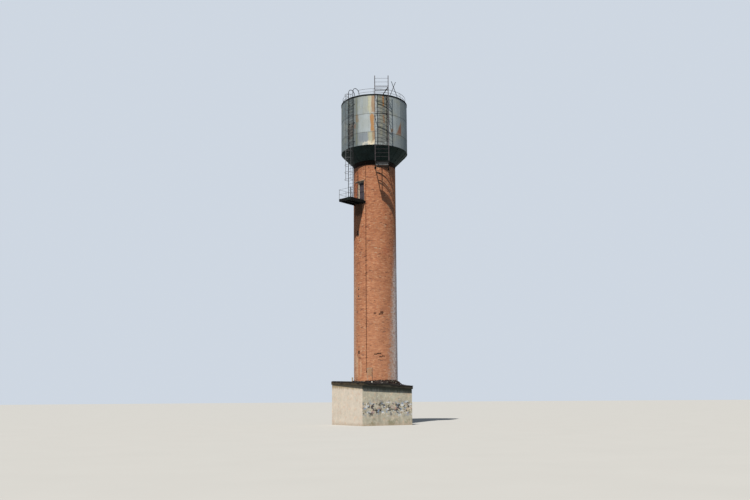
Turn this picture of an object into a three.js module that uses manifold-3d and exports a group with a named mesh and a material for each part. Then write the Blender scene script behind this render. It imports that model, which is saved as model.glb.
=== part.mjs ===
// Brick water tower: a square plastered base, a round brick shaft and a sheet-clad tank.
// Millimetres, +Z up. The origin is on the axis of the shaft, at the lowest ground.
// An azimuth is turned from -Y towards +X. In a side group, local -Y points out of the tower.
import * as THREE from 'three';
import { mergeVertices } from 'three/addons/utils/BufferGeometryUtils.js';
import Module from 'manifold-3d';

const wasm = await Module();
wasm.setup();

const radians = THREE.MathUtils.degToRad;

// Gap left between pieces that meet on a cut or turned surface, and round a door leaf.
const FIT = 0.3;
const DOOR_GAP = 3;

// Square base with a sloping roof slab.
const BASE_LEFT = -2880;
const BASE_RIGHT = 2385;
const BASE_FRONT = -2450;
const BASE_BACK = 3290;
const BASE_WALL = 320;
const FLOOR_THICKNESS = 150;
const ROOF_THICKNESS = 300;
const ROOF_FRONT_LEFT_TOP = 3870;
const ROOF_RISE_TO_BACK = 165;
const ROOF_FALL_TO_RIGHT = 330;
const EAVES_LEFT_FRONT = 200;
const EAVES_LEFT_BACK = 50;
const EAVES_FRONT_LEFT = 275;
const EAVES_FRONT_RIGHT = 205;
const EAVES_BACK = 100;
const TAR_WIDTH = 230;
const TAR_HEIGHT_AT_SHAFT = 120;
const TAR_HEIGHT_AT_EDGE = 40;

// On one side the tar is heaped up: the heap's middle, and what it adds in height and width.
const HEAP_AZIMUTH = 5;
const HEAP_HEIGHT = 230;
const HEAP_WIDTH = 200;

// The tar's edge wanders: how far, how many waves go round, and where each starts in radians.
const TAR_WAVES = [[90, 2, 1], [50, 5, 2], [40, 11, 0]];

// Ground-level entrance on the back of the base, and the doorway behind it in the shaft.
const ENTRANCE_AZIMUTH = 180;
const ENTRANCE_WIDTH = 900;
const ENTRANCE_HEIGHT = 2000;
const ENTRANCE_SETBACK = 120;
const DOOR_LEAF = 55;

// Round brick shaft.
const SHAFT_RADIUS = 2050;
const SHAFT_WALL = 510;
const SHAFT_TOP = 25000;
const FACET = 5.625;
const DOOR_BAY = 45;
const DOOR_FACETS = 2;

// Upper door, opening onto the balcony.
const DOOR_AZIMUTH = -72.4;
const DOOR_SILL = 21050;
const DOOR_HEAD = 23000;
const DOOR_SETBACK = 230;
const LINTEL_LEFT = -850;
const LINTEL_RIGHT = 470;
const LINTEL_HEIGHT = 100;
const LINTEL_DEPTH = 150;
const LINTEL_PROUD = 12;

// Balcony outside the upper door.
const BALCONY_TOP = 21000;
const BALCONY_DEPTH = 180;
const BALCONY_PLATE = 20;
const BALCONY_LEFT = -1010;
const BALCONY_RIGHT = 515;
const BALCONY_REACH = 4000;
const BALCONY_BEAM = 60;
const RAIL_HEIGHT = 980;
const RAIL_POST = 36;
const STOUT_POST = 84;
const ROUND_BAR_SIDES = 8;

// Tank casing, its funnel-shaped underside and its roof.
const TANK_RADIUS = 3250;
const TANK_SKIN = 60;
const TANK_BOTTOM = 26170;
const TANK_TOP = 31210;
const TANK_SEGMENTS = 6;
const TANK_FACETS = 66;
const CAP_THICKNESS = 200;
const FUNNEL_FOOT = 2110;
const FUNNEL_SEAT = 1980;
const CAP_RADIUS = 1960;
const RIM_RADIUS = 3290;
const RIM_HEIGHT = 80;
const ROOF_EDGE = 45;
const ROOF_CROWN = 290;

// Caged ladder from the balcony, past the tank and over the rim.
const CAGED_REACH = 3450;
const CAGED_HALF = 290;
const CAGED_TUBE = 30;
const CAGED_RUNG = 12;
const CAGED_RUNG_STEP = 300;
const NECK_SPRING = 31700;
const NECK_RADIUS = 445;
const NECK_STEPS = 12;
const BRACKET_LEVELS = [26670, 28570, 30470];
const CAGE_RADIUS = 350;
const CAGE_BOTTOM = 22800;
const CAGE_TOP = 31300;
const CAGE_HOOPS = 13;
const CAGE_FLAT = 10;
const CAGE_STRAP = 15;
const CAGE_BEND_STEPS = 8;
const CAGE_HOOP_HEIGHT = 30;

// Wide ladder in front of the tank, and the landing that carries it.
const FRONT_AZIMUTH = -31.4;
const FRONT_LEFT = 80;
const FRONT_RIGHT = 1365;
const FRONT_REACH = 4050;
const FRONT_RAIL = 70;
const FRONT_TOP = 32800;
const FRONT_RUNG = 13;
const FRONT_RUNG_STEP = 372;
const FRONT_FIRST_RUNG = 24710;
const FRONT_RUNGS = 22;
const LANDING_BOTTOM = 24170;
const LANDING_DEPTH = 100;
const LANDING_REACH = 4110;
const LANDING_PLATE = 15;
const LANDING_DECK_START = 3560;
const LANDING_BARS = [2860, 3030];
const LANDING_STEP = [2340, 2400];
const FRONT_BRACE = 31650;
const STRUT_FOOT = 880;
const STRUT_RADIUS = 40;
const TIE_BAR = 50;
const UPPER_TIE = 31330;
const LOWER_TIE = 29000;

// Guard rail round the roof.
const GUARD_RADIUS = 3120;
const GUARD_HEIGHT = 640;
const GUARD_BAR = 12;
const GUARD_SEGMENTS = 4;
const GUARD_POSTS = 4;
const GUARD_GAP = 22;
const GUARD_ARC_STEPS = 14;
const GUARD_POST_MARGIN = 2;
const GUARD_JOINT = 0.02;

// Two bare poles that cross over the roof: each foot, then its top.
const POLE_RADIUS = 28;
const POLES = [
  [[2290, -2300], [1700, -2750, 32750]],
  [[1560, -2790], [2110, -2478, 32780]],
];

// Line clipped down the shaft, and the pipe on the tank.
const CONDUCTOR_AZIMUTH = -55.4;
const CONDUCTOR_RADIUS = 14;
const CONDUCTOR_BOTTOM = 4800;
const CONDUCTOR_TOP = 24900;
const CONDUCTOR_OFFSET = 45;
const CONDUCTOR_CLIPS = 12;
const PIPE_AZIMUTH = -9.5;
const PIPE_RADIUS = 32;
const PIPE_OFFSET = 50;
const PIPE_CLIPS = 4;
const CLIP_WIDTH = 1.6;
const CLIP_DEPTH = 200;

// Finishes: colour, roughness and metalness.
const finishes = {
  plaster: { color: 0xd6cab4, roughness: 0.92, metalness: 0 },
  concrete: { color: 0x6f6a5e, roughness: 0.95, metalness: 0 },
  tar: { color: 0x2f2c28, roughness: 0.9, metalness: 0 },
  brick: { color: 0xbf7b55, roughness: 0.9, metalness: 0 },
  lintel: { color: 0xd9c995, roughness: 0.9, metalness: 0 },
  door: { color: 0x3b3038, roughness: 0.7, metalness: 0.1 },
  sheet: { color: 0xa9adab, roughness: 0.45, metalness: 0.7 },
  dark: { color: 0x1c2422, roughness: 0.6, metalness: 0.3 },
  steel: { color: 0x43352c, roughness: 0.7, metalness: 0.5 },
};

// Solids: a closed geometry becomes one that can be joined and cut, and back again.
function toSolid(geometry) {
  const bare = geometry.clone();
  bare.deleteAttribute('normal');
  bare.deleteAttribute('uv');
  const merged = mergeVertices(bare);
  const vertProperties = Float32Array.from(merged.attributes.position.array);
  const triVerts = Uint32Array.from(merged.index.array);
  return new wasm.Manifold(new wasm.Mesh({ numProp: 3, vertProperties, triVerts }));
}

function toGeometry(solid) {
  const mesh = solid.getMesh();
  const geometry = new THREE.BufferGeometry();
  geometry.setAttribute('position', new THREE.BufferAttribute(mesh.vertProperties, 3));
  geometry.setIndex(new THREE.BufferAttribute(mesh.triVerts, 1));
  geometry.computeVertexNormals();
  return geometry;
}

function joined(geometries) {
  return toGeometry(geometries.map(toSolid).reduce((whole, piece) => whole.add(piece)));
}

function cut(geometry, ...cutters) {
  return toGeometry(cutters.reduce((rest, cutter) => rest.subtract(cutter), toSolid(geometry)));
}

// Plain shapes, given by their limits or their ends.
function block(x0, x1, y0, y1, z0, z1) {
  const geometry = new THREE.BoxGeometry(x1 - x0, y1 - y0, z1 - z0);
  return geometry.translate((x0 + x1) / 2, (y0 + y1) / 2, (z0 + z1) / 2);
}

function rod(from, to, radius, sides = 6) {
  const start = new THREE.Vector3(...from);
  const along = new THREE.Vector3(...to).sub(start);
  const geometry = new THREE.CylinderGeometry(radius, radius, along.length(), sides);
  const turn = new THREE.Quaternion();
  turn.setFromUnitVectors(new THREE.Vector3(0, 1, 0), along.clone().normalize());
  const middle = start.addScaledVector(along, 0.5);
  return geometry.applyQuaternion(turn).translate(middle.x, middle.y, middle.z);
}

function prism(outline, z0, z1, hole = null) {
  const shape = new THREE.Shape(outline);
  if (hole) {
    shape.holes.push(new THREE.Path(hole));
  }
  const geometry = new THREE.ExtrudeGeometry(shape, { depth: z1 - z0, bevelEnabled: false });
  return geometry.translate(0, 0, z0);
}

function turned(profile, segments) {
  const points = profile.map(([radius, height]) => new THREE.Vector2(radius, height));
  return new THREE.LatheGeometry(points, segments).rotateX(Math.PI / 2);
}

// Points on an arc, given by azimuths in degrees.
function onCircle(radius, azimuth) {
  const angle = radians(azimuth);
  return new THREE.Vector2(radius * Math.sin(angle), -radius * Math.cos(angle));
}

function steps(start, end, count) {
  return Array.from({ length: count + 1 }, (unused, i) => start + ((end - start) * i) / count);
}

function bandPlan(outer, inner, outerAzimuths, innerAzimuths = outerAzimuths) {
  const outside = outerAzimuths.map((azimuth) => onCircle(outer, azimuth));
  const inside = innerAzimuths.map((azimuth) => onCircle(inner, azimuth));
  return [...outside, ...inside.reverse()];
}

const tower = new THREE.Group();

function sideGroup(azimuth) {
  const group = new THREE.Group();
  group.rotation.z = radians(azimuth);
  tower.add(group);
  return group;
}

const frontSide = sideGroup(FRONT_AZIMUTH);
const doorSide = sideGroup(DOOR_AZIMUTH);
const conductorSide = sideGroup(CONDUCTOR_AZIMUTH);
const pipeSide = sideGroup(PIPE_AZIMUTH);

function place(name, geometry, finish, parent = tower) {
  const mesh = new THREE.Mesh(geometry, new THREE.MeshStandardMaterial(finishes[finish]));
  mesh.name = name;
  parent.add(mesh);
}

// Bays of the shaft: one with the upper door, one with the entrance, plain ones between.
const doorBay = [DOOR_AZIMUTH - DOOR_BAY / 2, DOOR_AZIMUTH + DOOR_BAY / 2];
const entranceBay = [ENTRANCE_AZIMUTH - DOOR_BAY / 2, ENTRANCE_AZIMUTH + DOOR_BAY / 2];
const plainBays = [];
const rightBays = steps(doorBay[1], entranceBay[0], 4);
for (let i = 0; i < 4; i += 1) {
  plainBays.push([rightBays[i], rightBays[i + 1]]);
}
plainBays.push([entranceBay[1], doorBay[0] + 360]);

function bayAzimuths([start, end]) {
  return steps(start, end, Math.round((end - start) / FACET));
}

const shaftBays = [doorBay, ...plainBays.slice(0, 4), entranceBay, plainBays[4]];
const shaftAzimuths = shaftBays.flatMap((bay) => bayAzimuths(bay).slice(0, -1));
const shaftOutline = (grow) => shaftAzimuths.map((a) => onCircle(SHAFT_RADIUS + grow, a));
const shaftInner = SHAFT_RADIUS - SHAFT_WALL;
const doorwayHalf = SHAFT_RADIUS * Math.sin(radians(DOOR_FACETS * FACET));

function shaftSpace(azimuth) {
  return toSolid(prism(shaftOutline(FIT), 0, SHAFT_TOP).rotateZ(-radians(azimuth)));
}

function jambPlan(bay, side) {
  const middle = (bay[0] + bay[1]) / 2;
  const outerCut = middle + side * DOOR_FACETS * FACET;
  const innerCut = middle + side * THREE.MathUtils.radToDeg(Math.asin(doorwayHalf / shaftInner));
  const edge = side < 0 ? bay[0] : bay[1];
  const outer = side < 0 ? [edge, outerCut] : [outerCut, edge];
  const inner = side < 0 ? [edge, innerCut] : [innerCut, edge];
  return bandPlan(SHAFT_RADIUS, shaftInner, steps(...outer, 2), steps(...inner, 2));
}

function bayWall(bay, z0, z1) {
  return prism(bandPlan(SHAFT_RADIUS, shaftInner, bayAzimuths(bay)), z0, z1);
}

function buildShaft() {
  plainBays.forEach((bay, i) => {
    place(`shaft_wall_${i + 1}`, bayWall(bay, FLOOR_THICKNESS, SHAFT_TOP), 'brick');
  });
  const entranceHead = FLOOR_THICKNESS + ENTRANCE_HEIGHT;
  const sides = { left: -1, right: 1 };
  for (const [side, sign] of Object.entries(sides)) {
    const entranceJamb = prism(jambPlan(entranceBay, sign), FLOOR_THICKNESS, entranceHead);
    const doorJamb = prism(jambPlan(doorBay, sign), DOOR_SILL, DOOR_HEAD);
    place(`shaft_entrance_jamb_${side}`, entranceJamb, 'brick');
    place(`shaft_door_jamb_${side}`, doorJamb, 'brick');
  }
  place('shaft_wall_over_entrance', bayWall(entranceBay, entranceHead, SHAFT_TOP), 'brick');
  place('shaft_wall_under_door', bayWall(doorBay, FLOOR_THICKNESS, DOOR_SILL), 'brick');
  const pocket = toSolid(lintelBlock(FIT).rotateZ(radians(DOOR_AZIMUTH)));
  place('shaft_wall_over_door', cut(bayWall(doorBay, DOOR_HEAD, SHAFT_TOP), pocket), 'brick');
  const cap = shaftAzimuths.map((azimuth) => onCircle(CAP_RADIUS, azimuth));
  place('shaft_cap', prism(cap, SHAFT_TOP, SHAFT_TOP + CAP_THICKNESS), 'concrete');
}

// The lintel is let into the face of the shaft and stands a little proud of it.
function lintelBlock(grow) {
  const back = -(SHAFT_RADIUS - LINTEL_DEPTH) + grow;
  const left = LINTEL_LEFT - grow;
  const right = LINTEL_RIGHT + grow;
  const top = DOOR_HEAD + LINTEL_HEIGHT + grow;
  return block(left, right, -SHAFT_RADIUS * 2, back, DOOR_HEAD - grow, top);
}

function buildUpperDoor() {
  const proud = prism(shaftOutline(LINTEL_PROUD), DOOR_HEAD - FIT, DOOR_HEAD + LINTEL_HEIGHT + FIT);
  const skin = toSolid(proud.rotateZ(-radians(DOOR_AZIMUTH)));
  const lintel = toGeometry(toSolid(lintelBlock(0)).intersect(skin));
  place('door_lintel', lintel.translate(0, 0, FIT), 'lintel', doorSide);
  const face = -(SHAFT_RADIUS - DOOR_SETBACK);
  const half = doorwayHalf - DOOR_GAP;
  const leaf = block(-half, half, face, face + DOOR_LEAF, DOOR_SILL + FIT, DOOR_HEAD - DOOR_GAP);
  place('balcony_door', leaf, 'door', doorSide);
}

// Roof slab of the base: a plane that falls to the right and rises to the back.
function roofTop(x, y) {
  const fall = (ROOF_FALL_TO_RIGHT * (x - BASE_LEFT)) / (BASE_RIGHT - BASE_LEFT);
  const rise = (ROOF_RISE_TO_BACK * (y - BASE_FRONT)) / (BASE_BACK - BASE_FRONT);
  return ROOF_FRONT_LEFT_TOP - fall + rise;
}

// Moves the lower and upper ends of an upright shape onto two surfaces over x and y.
function between(geometry, lower, upper) {
  const position = geometry.attributes.position;
  geometry.computeBoundingBox();
  const middle = (geometry.boundingBox.min.z + geometry.boundingBox.max.z) / 2;
  for (let i = 0; i < position.count; i += 1) {
    const x = position.getX(i);
    const y = position.getY(i);
    position.setZ(i, position.getZ(i) < middle ? lower(x, y) : upper(x, y));
  }
  geometry.computeVertexNormals();
  return geometry;
}

function baseWall(name, x0, x1, y0, y1, bottom = FLOOR_THICKNESS) {
  const wall = block(x0, x1, y0, y1, bottom, ROOF_FRONT_LEFT_TOP);
  const underside = (x, y) => roofTop(x, y) - ROOF_THICKNESS - FIT;
  place(name, between(wall, () => bottom, underside), 'plaster');
}

function buildBase() {
  const floor = block(BASE_LEFT, BASE_RIGHT, BASE_FRONT, BASE_BACK, 0, FLOOR_THICKNESS);
  place('base_floor', floor, 'concrete');
  const left = BASE_LEFT + BASE_WALL;
  const right = BASE_RIGHT - BASE_WALL;
  const back = BASE_BACK - BASE_WALL;
  const half = ENTRANCE_WIDTH / 2;
  const head = FLOOR_THICKNESS + ENTRANCE_HEIGHT;
  baseWall('base_wall_left', BASE_LEFT, left, BASE_FRONT, BASE_BACK);
  baseWall('base_wall_right', right, BASE_RIGHT, BASE_FRONT, BASE_BACK);
  baseWall('base_wall_front', left, right, BASE_FRONT, BASE_FRONT + BASE_WALL);
  baseWall('base_wall_back_left', left, -half, back, BASE_BACK);
  baseWall('base_wall_back_right', half, right, back, BASE_BACK);
  baseWall('base_wall_over_entrance', -half, half, back, BASE_BACK, head);
  const outside = BASE_BACK - ENTRANCE_SETBACK;
  const inside = outside - DOOR_LEAF;
  const leafHalf = half - DOOR_GAP;
  const foot = FLOOR_THICKNESS + FIT;
  place('entrance_door', block(-leafHalf, leafHalf, inside, outside, foot, head - DOOR_GAP), 'door');
}

function buildBaseRoof() {
  const outline = [
    new THREE.Vector2(BASE_LEFT - EAVES_LEFT_FRONT, BASE_FRONT - EAVES_FRONT_LEFT),
    new THREE.Vector2(BASE_RIGHT, BASE_FRONT - EAVES_FRONT_RIGHT),
    new THREE.Vector2(BASE_RIGHT, BASE_BACK + EAVES_BACK),
    new THREE.Vector2(BASE_LEFT - EAVES_LEFT_BACK, BASE_BACK + EAVES_BACK),
  ];
  const slab = prism(outline, 0, 1, shaftOutline(FIT));
  const underside = (x, y) => roofTop(x, y) - ROOF_THICKNESS;
  place('base_roof', between(slab, underside, roofTop), 'concrete');

  const heap = (angle) => Math.max(0, Math.cos(angle - radians(HEAP_AZIMUTH))) ** 2;
  const ragged = (azimuth) => {
    const angle = radians(azimuth);
    const waves = TAR_WAVES.map(([reach, count, start]) => reach * Math.sin(count * angle + start));
    const wander = waves.reduce((sum, wave) => sum + wave, HEAP_WIDTH * heap(angle));
    return onCircle(SHAFT_RADIUS + TAR_WIDTH + wander, azimuth);
  };
  const collar = prism(shaftAzimuths.map(ragged), 0, 1, shaftOutline(FIT));
  const tarTop = (x, y) => {
    const isInner = Math.hypot(x, y) < SHAFT_RADIUS + 2 * FIT;
    const atShaft = TAR_HEIGHT_AT_SHAFT + HEAP_HEIGHT * heap(Math.atan2(x, -y));
    return roofTop(x, y) + (isInner ? atShaft : TAR_HEIGHT_AT_EDGE);
  };
  place('roof_tar_collar', between(collar, (x, y) => roofTop(x, y) + FIT, tarTop), 'tar');
}

// Tank: casing in upright segments, funnel below, roof and rim above.
const tankAzimuths = steps(0, 360, TANK_FACETS);
const tankOutline = (radius) => tankAzimuths.slice(0, -1).map((a) => onCircle(radius, a));

// A roof sheet lifted by the gap over the casing. A higher lift makes it wider too, to cut by.
function roofProfile(lift) {
  const edge = RIM_RADIUS - FIT + lift;
  return [
    [0, TANK_TOP + lift],
    [edge, TANK_TOP + lift],
    [edge, TANK_TOP + ROOF_EDGE + lift],
    [0, TANK_TOP + ROOF_CROWN + lift],
  ];
}

// Height inside the roof sheet where upright pieces on the roof start, and one for sloping ones.
const roofSeat = TANK_TOP + ROOF_EDGE / 2;
const slopingSeat = TANK_TOP + ROOF_EDGE;

function tankSpaceFor(azimuth) {
  const space = prism(tankOutline(TANK_RADIUS + FIT), TANK_BOTTOM, TANK_TOP);
  return toSolid(space.rotateZ(-radians(azimuth)));
}

function roofSpaceFor(azimuth) {
  return toSolid(turned(roofProfile(2 * FIT), TANK_FACETS).rotateZ(-radians(azimuth)));
}

function buildTank() {
  const perSegment = TANK_FACETS / TANK_SEGMENTS;
  for (let i = 0; i < TANK_SEGMENTS; i += 1) {
    const azimuths = tankAzimuths.slice(i * perSegment, (i + 1) * perSegment + 1);
    const plan = bandPlan(TANK_RADIUS, TANK_RADIUS - TANK_SKIN, azimuths);
    place(`tank_wall_${i + 1}`, prism(plan, TANK_BOTTOM, TANK_TOP), 'sheet');
  }
  const inner = TANK_RADIUS - TANK_SKIN;
  const funnel = turned([
    [FUNNEL_SEAT, SHAFT_TOP + FIT],
    [FUNNEL_FOOT, SHAFT_TOP + FIT],
    [TANK_RADIUS, TANK_BOTTOM - FIT],
    [inner, TANK_BOTTOM - FIT],
    [FUNNEL_SEAT, SHAFT_TOP + TANK_SKIN],
    [FUNNEL_SEAT, SHAFT_TOP + FIT],
  ], TANK_FACETS);
  place('tank_funnel', funnel, 'dark');
  place('tank_roof', turned(roofProfile(FIT), TANK_FACETS), 'dark');
  const rimFoot = TANK_TOP - RIM_HEIGHT;
  const rim = prism(tankOutline(RIM_RADIUS), rimFoot, TANK_TOP, tankOutline(TANK_RADIUS + FIT));
  place('tank_rim', rim, 'dark');
}

function buildBalcony() {
  const wall = shaftSpace(DOOR_AZIMUTH);
  const bottom = BALCONY_TOP - BALCONY_PLATE - BALCONY_DEPTH;
  const top = BALCONY_TOP - BALCONY_PLATE - FIT;
  const outer = -BALCONY_REACH;
  const inner = -SHAFT_RADIUS / 2;
  const last = BALCONY_RIGHT - BALCONY_BEAM;
  const bearers = [BALCONY_LEFT, -CAGED_HALF, CAGED_HALF - BALCONY_BEAM, last];
  const frame = bearers.map((x) => block(x, x + BALCONY_BEAM, outer, inner, bottom, top));
  frame.push(block(BALCONY_LEFT, BALCONY_RIGHT, outer, outer + BALCONY_BEAM, bottom, top));
  const wallBeam = -SHAFT_RADIUS - BALCONY_BEAM;
  frame.push(block(BALCONY_LEFT, BALCONY_RIGHT, wallBeam, wallBeam + BALCONY_BEAM / 2, bottom, top));
  place('balcony_frame', cut(joined(frame), wall), 'dark', doorSide);
  const plateFoot = BALCONY_TOP - BALCONY_PLATE;
  const plate = block(BALCONY_LEFT, BALCONY_RIGHT, outer, inner, plateFoot, BALCONY_TOP);
  place('balcony_deck', cut(plate, wall), 'dark', doorSide);
}

function buildBalconyRails() {
  const outer = -BALCONY_REACH;
  const foot = BALCONY_TOP + FIT;
  const rail = BALCONY_TOP + RAIL_HEIGHT;
  const middle = BALCONY_TOP + RAIL_HEIGHT / 2;
  const left = BALCONY_LEFT + RAIL_POST / 2;
  const right = BALCONY_RIGHT - RAIL_POST / 2;
  const front = outer + RAIL_POST / 2;
  const nearWall = -SHAFT_RADIUS - 2 * RAIL_POST;
  const post = (x, y) => rod([x, y, foot], [x, y, rail], RAIL_POST / 2, ROUND_BAR_SIDES);
  const bars = (from, to) => [rail - RAIL_POST / 2, middle].map((z) => {
    return rod([...from, z], [...to, z], RAIL_POST / 3);
  });
  const sidePanel = (x, corner) => {
    const sideBars = bars([x, outer + corner + FIT], [x, nearWall]);
    return joined([...sideBars, post(x, nearWall), post(x, (front + nearWall) / 2)]);
  };
  const stout = [BALCONY_RIGHT - STOUT_POST, BALCONY_RIGHT, outer, outer + STOUT_POST];
  const corners = [post(left, front), block(...stout, foot, rail)];
  const outerPanel = joined([...bars([left, front], [right, front]), ...corners]);
  place('balcony_rail_left', sidePanel(left, RAIL_POST), 'steel', doorSide);
  place('balcony_rail_right', sidePanel(right, STOUT_POST), 'steel', doorSide);
  place('balcony_rail_outer', outerPanel, 'steel', doorSide);
}

// One stile of the caged ladder: upright from the balcony, then a swan neck down to the roof.
class SwanNeck extends THREE.Curve {
  constructor(x) {
    super();
    this.x = x;
  }

  getPoint(t, target = new THREE.Vector3()) {
    const angle = Math.PI * t;
    const y = -CAGED_REACH + NECK_RADIUS * (1 - Math.cos(angle));
    return target.set(this.x, y, NECK_SPRING + NECK_RADIUS * Math.sin(angle));
  }
}

function stile(x) {
  const overlap = 2;
  const top = NECK_SPRING + overlap;
  const corners = steps(0, 360, ROUND_BAR_SIDES).slice(0, -1);
  const section = new THREE.Shape(corners.map((azimuth) => onCircle(CAGED_TUBE, azimuth)));
  const bend = { steps: NECK_STEPS, bevelEnabled: false, extrudePath: new SwanNeck(x) };
  const tube = (y, foot) => rod([x, y, foot], [x, y, top], CAGED_TUBE, ROUND_BAR_SIDES);
  const outside = tube(-CAGED_REACH, BALCONY_TOP + FIT);
  const inside = tube(-CAGED_REACH + 2 * NECK_RADIUS, roofSeat);
  return [outside, new THREE.ExtrudeGeometry(section, bend), inside];
}

function buildCagedLadder() {
  const wall = tankSpaceFor(DOOR_AZIMUTH);
  const pieces = [...stile(-CAGED_HALF), ...stile(CAGED_HALF)];
  const rungs = Math.floor((NECK_SPRING - BALCONY_TOP) / CAGED_RUNG_STEP);
  for (let i = 1; i <= rungs; i += 1) {
    const z = BALCONY_TOP + i * CAGED_RUNG_STEP;
    pieces.push(rod([-CAGED_HALF, -CAGED_REACH, z], [CAGED_HALF, -CAGED_REACH, z], CAGED_RUNG));
  }
  for (const z of BRACKET_LEVELS) {
    for (const x of [-CAGED_HALF, CAGED_HALF]) {
      pieces.push(rod([x, -CAGED_REACH, z], [x, -TANK_RADIUS / 2, z], CAGED_RUNG));
    }
  }
  const ladder = cut(joined(pieces), wall, roofSpaceFor(DOOR_AZIMUTH));
  place('caged_ladder', ladder, 'steel', doorSide);
}

// The cage: U-shaped hoops from stile to stile, and three straps that join them.
function buildCage() {
  const centre = new THREE.Vector2(0, -CAGED_REACH - CAGE_RADIUS);
  const onCage = (radius, azimuth) => onCircle(radius, azimuth).add(centre);
  const bend = (radius) => steps(-90, 90, CAGE_BEND_STEPS).map((a) => onCage(radius, a));
  const start = -CAGED_REACH - CAGED_TUBE / 2;
  const halfFlat = CAGE_FLAT / 2;
  const hoopPlan = [
    new THREE.Vector2(-CAGED_HALF - halfFlat, start),
    ...bend(CAGE_RADIUS),
    new THREE.Vector2(CAGED_HALF + halfFlat, start),
    new THREE.Vector2(CAGED_HALF - halfFlat, start),
    ...bend(CAGE_RADIUS - CAGE_FLAT).reverse(),
    new THREE.Vector2(-CAGED_HALF + halfFlat, start),
  ];
  const levels = steps(CAGE_BOTTOM, CAGE_TOP, CAGE_HOOPS - 1);
  const hoops = levels.map((z) => prism(hoopPlan, z, z + CAGE_HOOP_HEIGHT));
  const straps = [-90, 0, 90].map((azimuth) => {
    const at = onCage(CAGE_RADIUS - CAGE_FLAT - halfFlat, azimuth);
    const foot = [at.x, at.y, CAGE_BOTTOM];
    return rod(foot, [at.x, at.y, CAGE_TOP + CAGE_HOOP_HEIGHT], CAGE_STRAP);
  });
  const stileSpaces = [-CAGED_HALF, CAGED_HALF].map((x) => {
    const foot = [x, -CAGED_REACH, BALCONY_TOP];
    return toSolid(rod(foot, [x, -CAGED_REACH, NECK_SPRING], CAGED_TUBE + FIT, ROUND_BAR_SIDES));
  });
  place('ladder_cage', cut(joined([...hoops, ...straps]), ...stileSpaces), 'steel', doorSide);
}

function buildLanding() {
  const wall = shaftSpace(FRONT_AZIMUTH);
  const top = LANDING_BOTTOM + LANDING_DEPTH;
  const half = FRONT_RAIL / 2;
  const inner = -SHAFT_RADIUS / 2;
  const beam = (x) => block(x - half, x + half, -LANDING_REACH, inner, LANDING_BOTTOM, top);
  const bars = LANDING_BARS.map((reach) => {
    return block(FRONT_LEFT, FRONT_RIGHT, -reach - half, -reach + half / 3, LANDING_BOTTOM + half, top);
  });
  bars.push(block(FRONT_LEFT, FRONT_RIGHT, -LANDING_REACH, -LANDING_REACH + half, LANDING_BOTTOM, top));
  const [stepBack, stepFront] = LANDING_STEP;
  bars.push(block(FRONT_LEFT, FRONT_RIGHT, -stepFront, -stepBack, LANDING_BOTTOM, top));
  const frame = joined([beam(FRONT_LEFT), beam(FRONT_RIGHT), ...bars]);
  place('landing_frame', cut(frame, wall), 'dark', frontSide);
  const left = FRONT_LEFT - half;
  const right = FRONT_RIGHT + half;
  const foot = top + FIT;
  const deck = block(left, right, -LANDING_REACH, -LANDING_DECK_START, foot, foot + LANDING_PLATE);
  place('landing_deck', deck, 'dark', frontSide);
}

function buildFrontLadder() {
  const foot = LANDING_BOTTOM + LANDING_DEPTH + LANDING_PLATE + 2 * FIT;
  const half = FRONT_RAIL / 2;
  const outer = -FRONT_REACH - half / 2;
  const rail = (x) => block(x - half, x + half, outer, outer + half, foot, FRONT_TOP);
  const pieces = [rail(FRONT_LEFT), rail(FRONT_RIGHT)];
  for (let i = 0; i < FRONT_RUNGS; i += 1) {
    const z = FRONT_FIRST_RUNG + i * FRONT_RUNG_STEP;
    pieces.push(rod([FRONT_LEFT, -FRONT_REACH, z], [FRONT_RIGHT, -FRONT_REACH, z], FRONT_RUNG));
  }
  const brace = FRONT_BRACE - TIE_BAR / 2;
  pieces.push(block(FRONT_LEFT, FRONT_RIGHT, outer, outer + half, brace, brace + TIE_BAR));
  const strutFoot = [STRUT_FOOT, -GUARD_RADIUS, slopingSeat];
  pieces.push(rod(strutFoot, [FRONT_RIGHT, -FRONT_REACH, FRONT_BRACE], STRUT_RADIUS, ROUND_BAR_SIDES));
  const ladder = cut(joined(pieces), roofSpaceFor(FRONT_AZIMUTH));
  place('front_ladder', ladder, 'steel', frontSide);
}

// Ties hold the wide ladder off the tank: the lower one to its wall, the upper to its roof.
function buildLadderTies() {
  const behind = -FRONT_REACH + FRONT_RAIL / 4 + FIT;
  const half = TIE_BAR / 2;
  const stiles = [FRONT_LEFT, FRONT_RIGHT];
  const left = FRONT_LEFT - half;
  const right = FRONT_RIGHT + half;
  const crossbar = (z) => block(left, right, behind, behind + TIE_BAR, z - half, z + half);

  const level = stiles.map((x) => {
    return block(x - half, x + half, behind, -TANK_RADIUS / 2, LOWER_TIE - half, LOWER_TIE + half);
  });
  const lower = joined([...level, crossbar(LOWER_TIE)]);
  place('ladder_tie_lower', cut(lower, tankSpaceFor(FRONT_AZIMUTH)), 'steel', frontSide);

  const roofEnd = [-GUARD_RADIUS - TIE_BAR, slopingSeat];
  const sloping = stiles.map((x) => rod([x, behind + half, UPPER_TIE], [x, ...roofEnd], half));
  const upper = joined([...sloping, crossbar(UPPER_TIE)]);
  place('ladder_tie_upper', cut(upper, roofSpaceFor(FRONT_AZIMUTH)), 'steel', frontSide);
}

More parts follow.
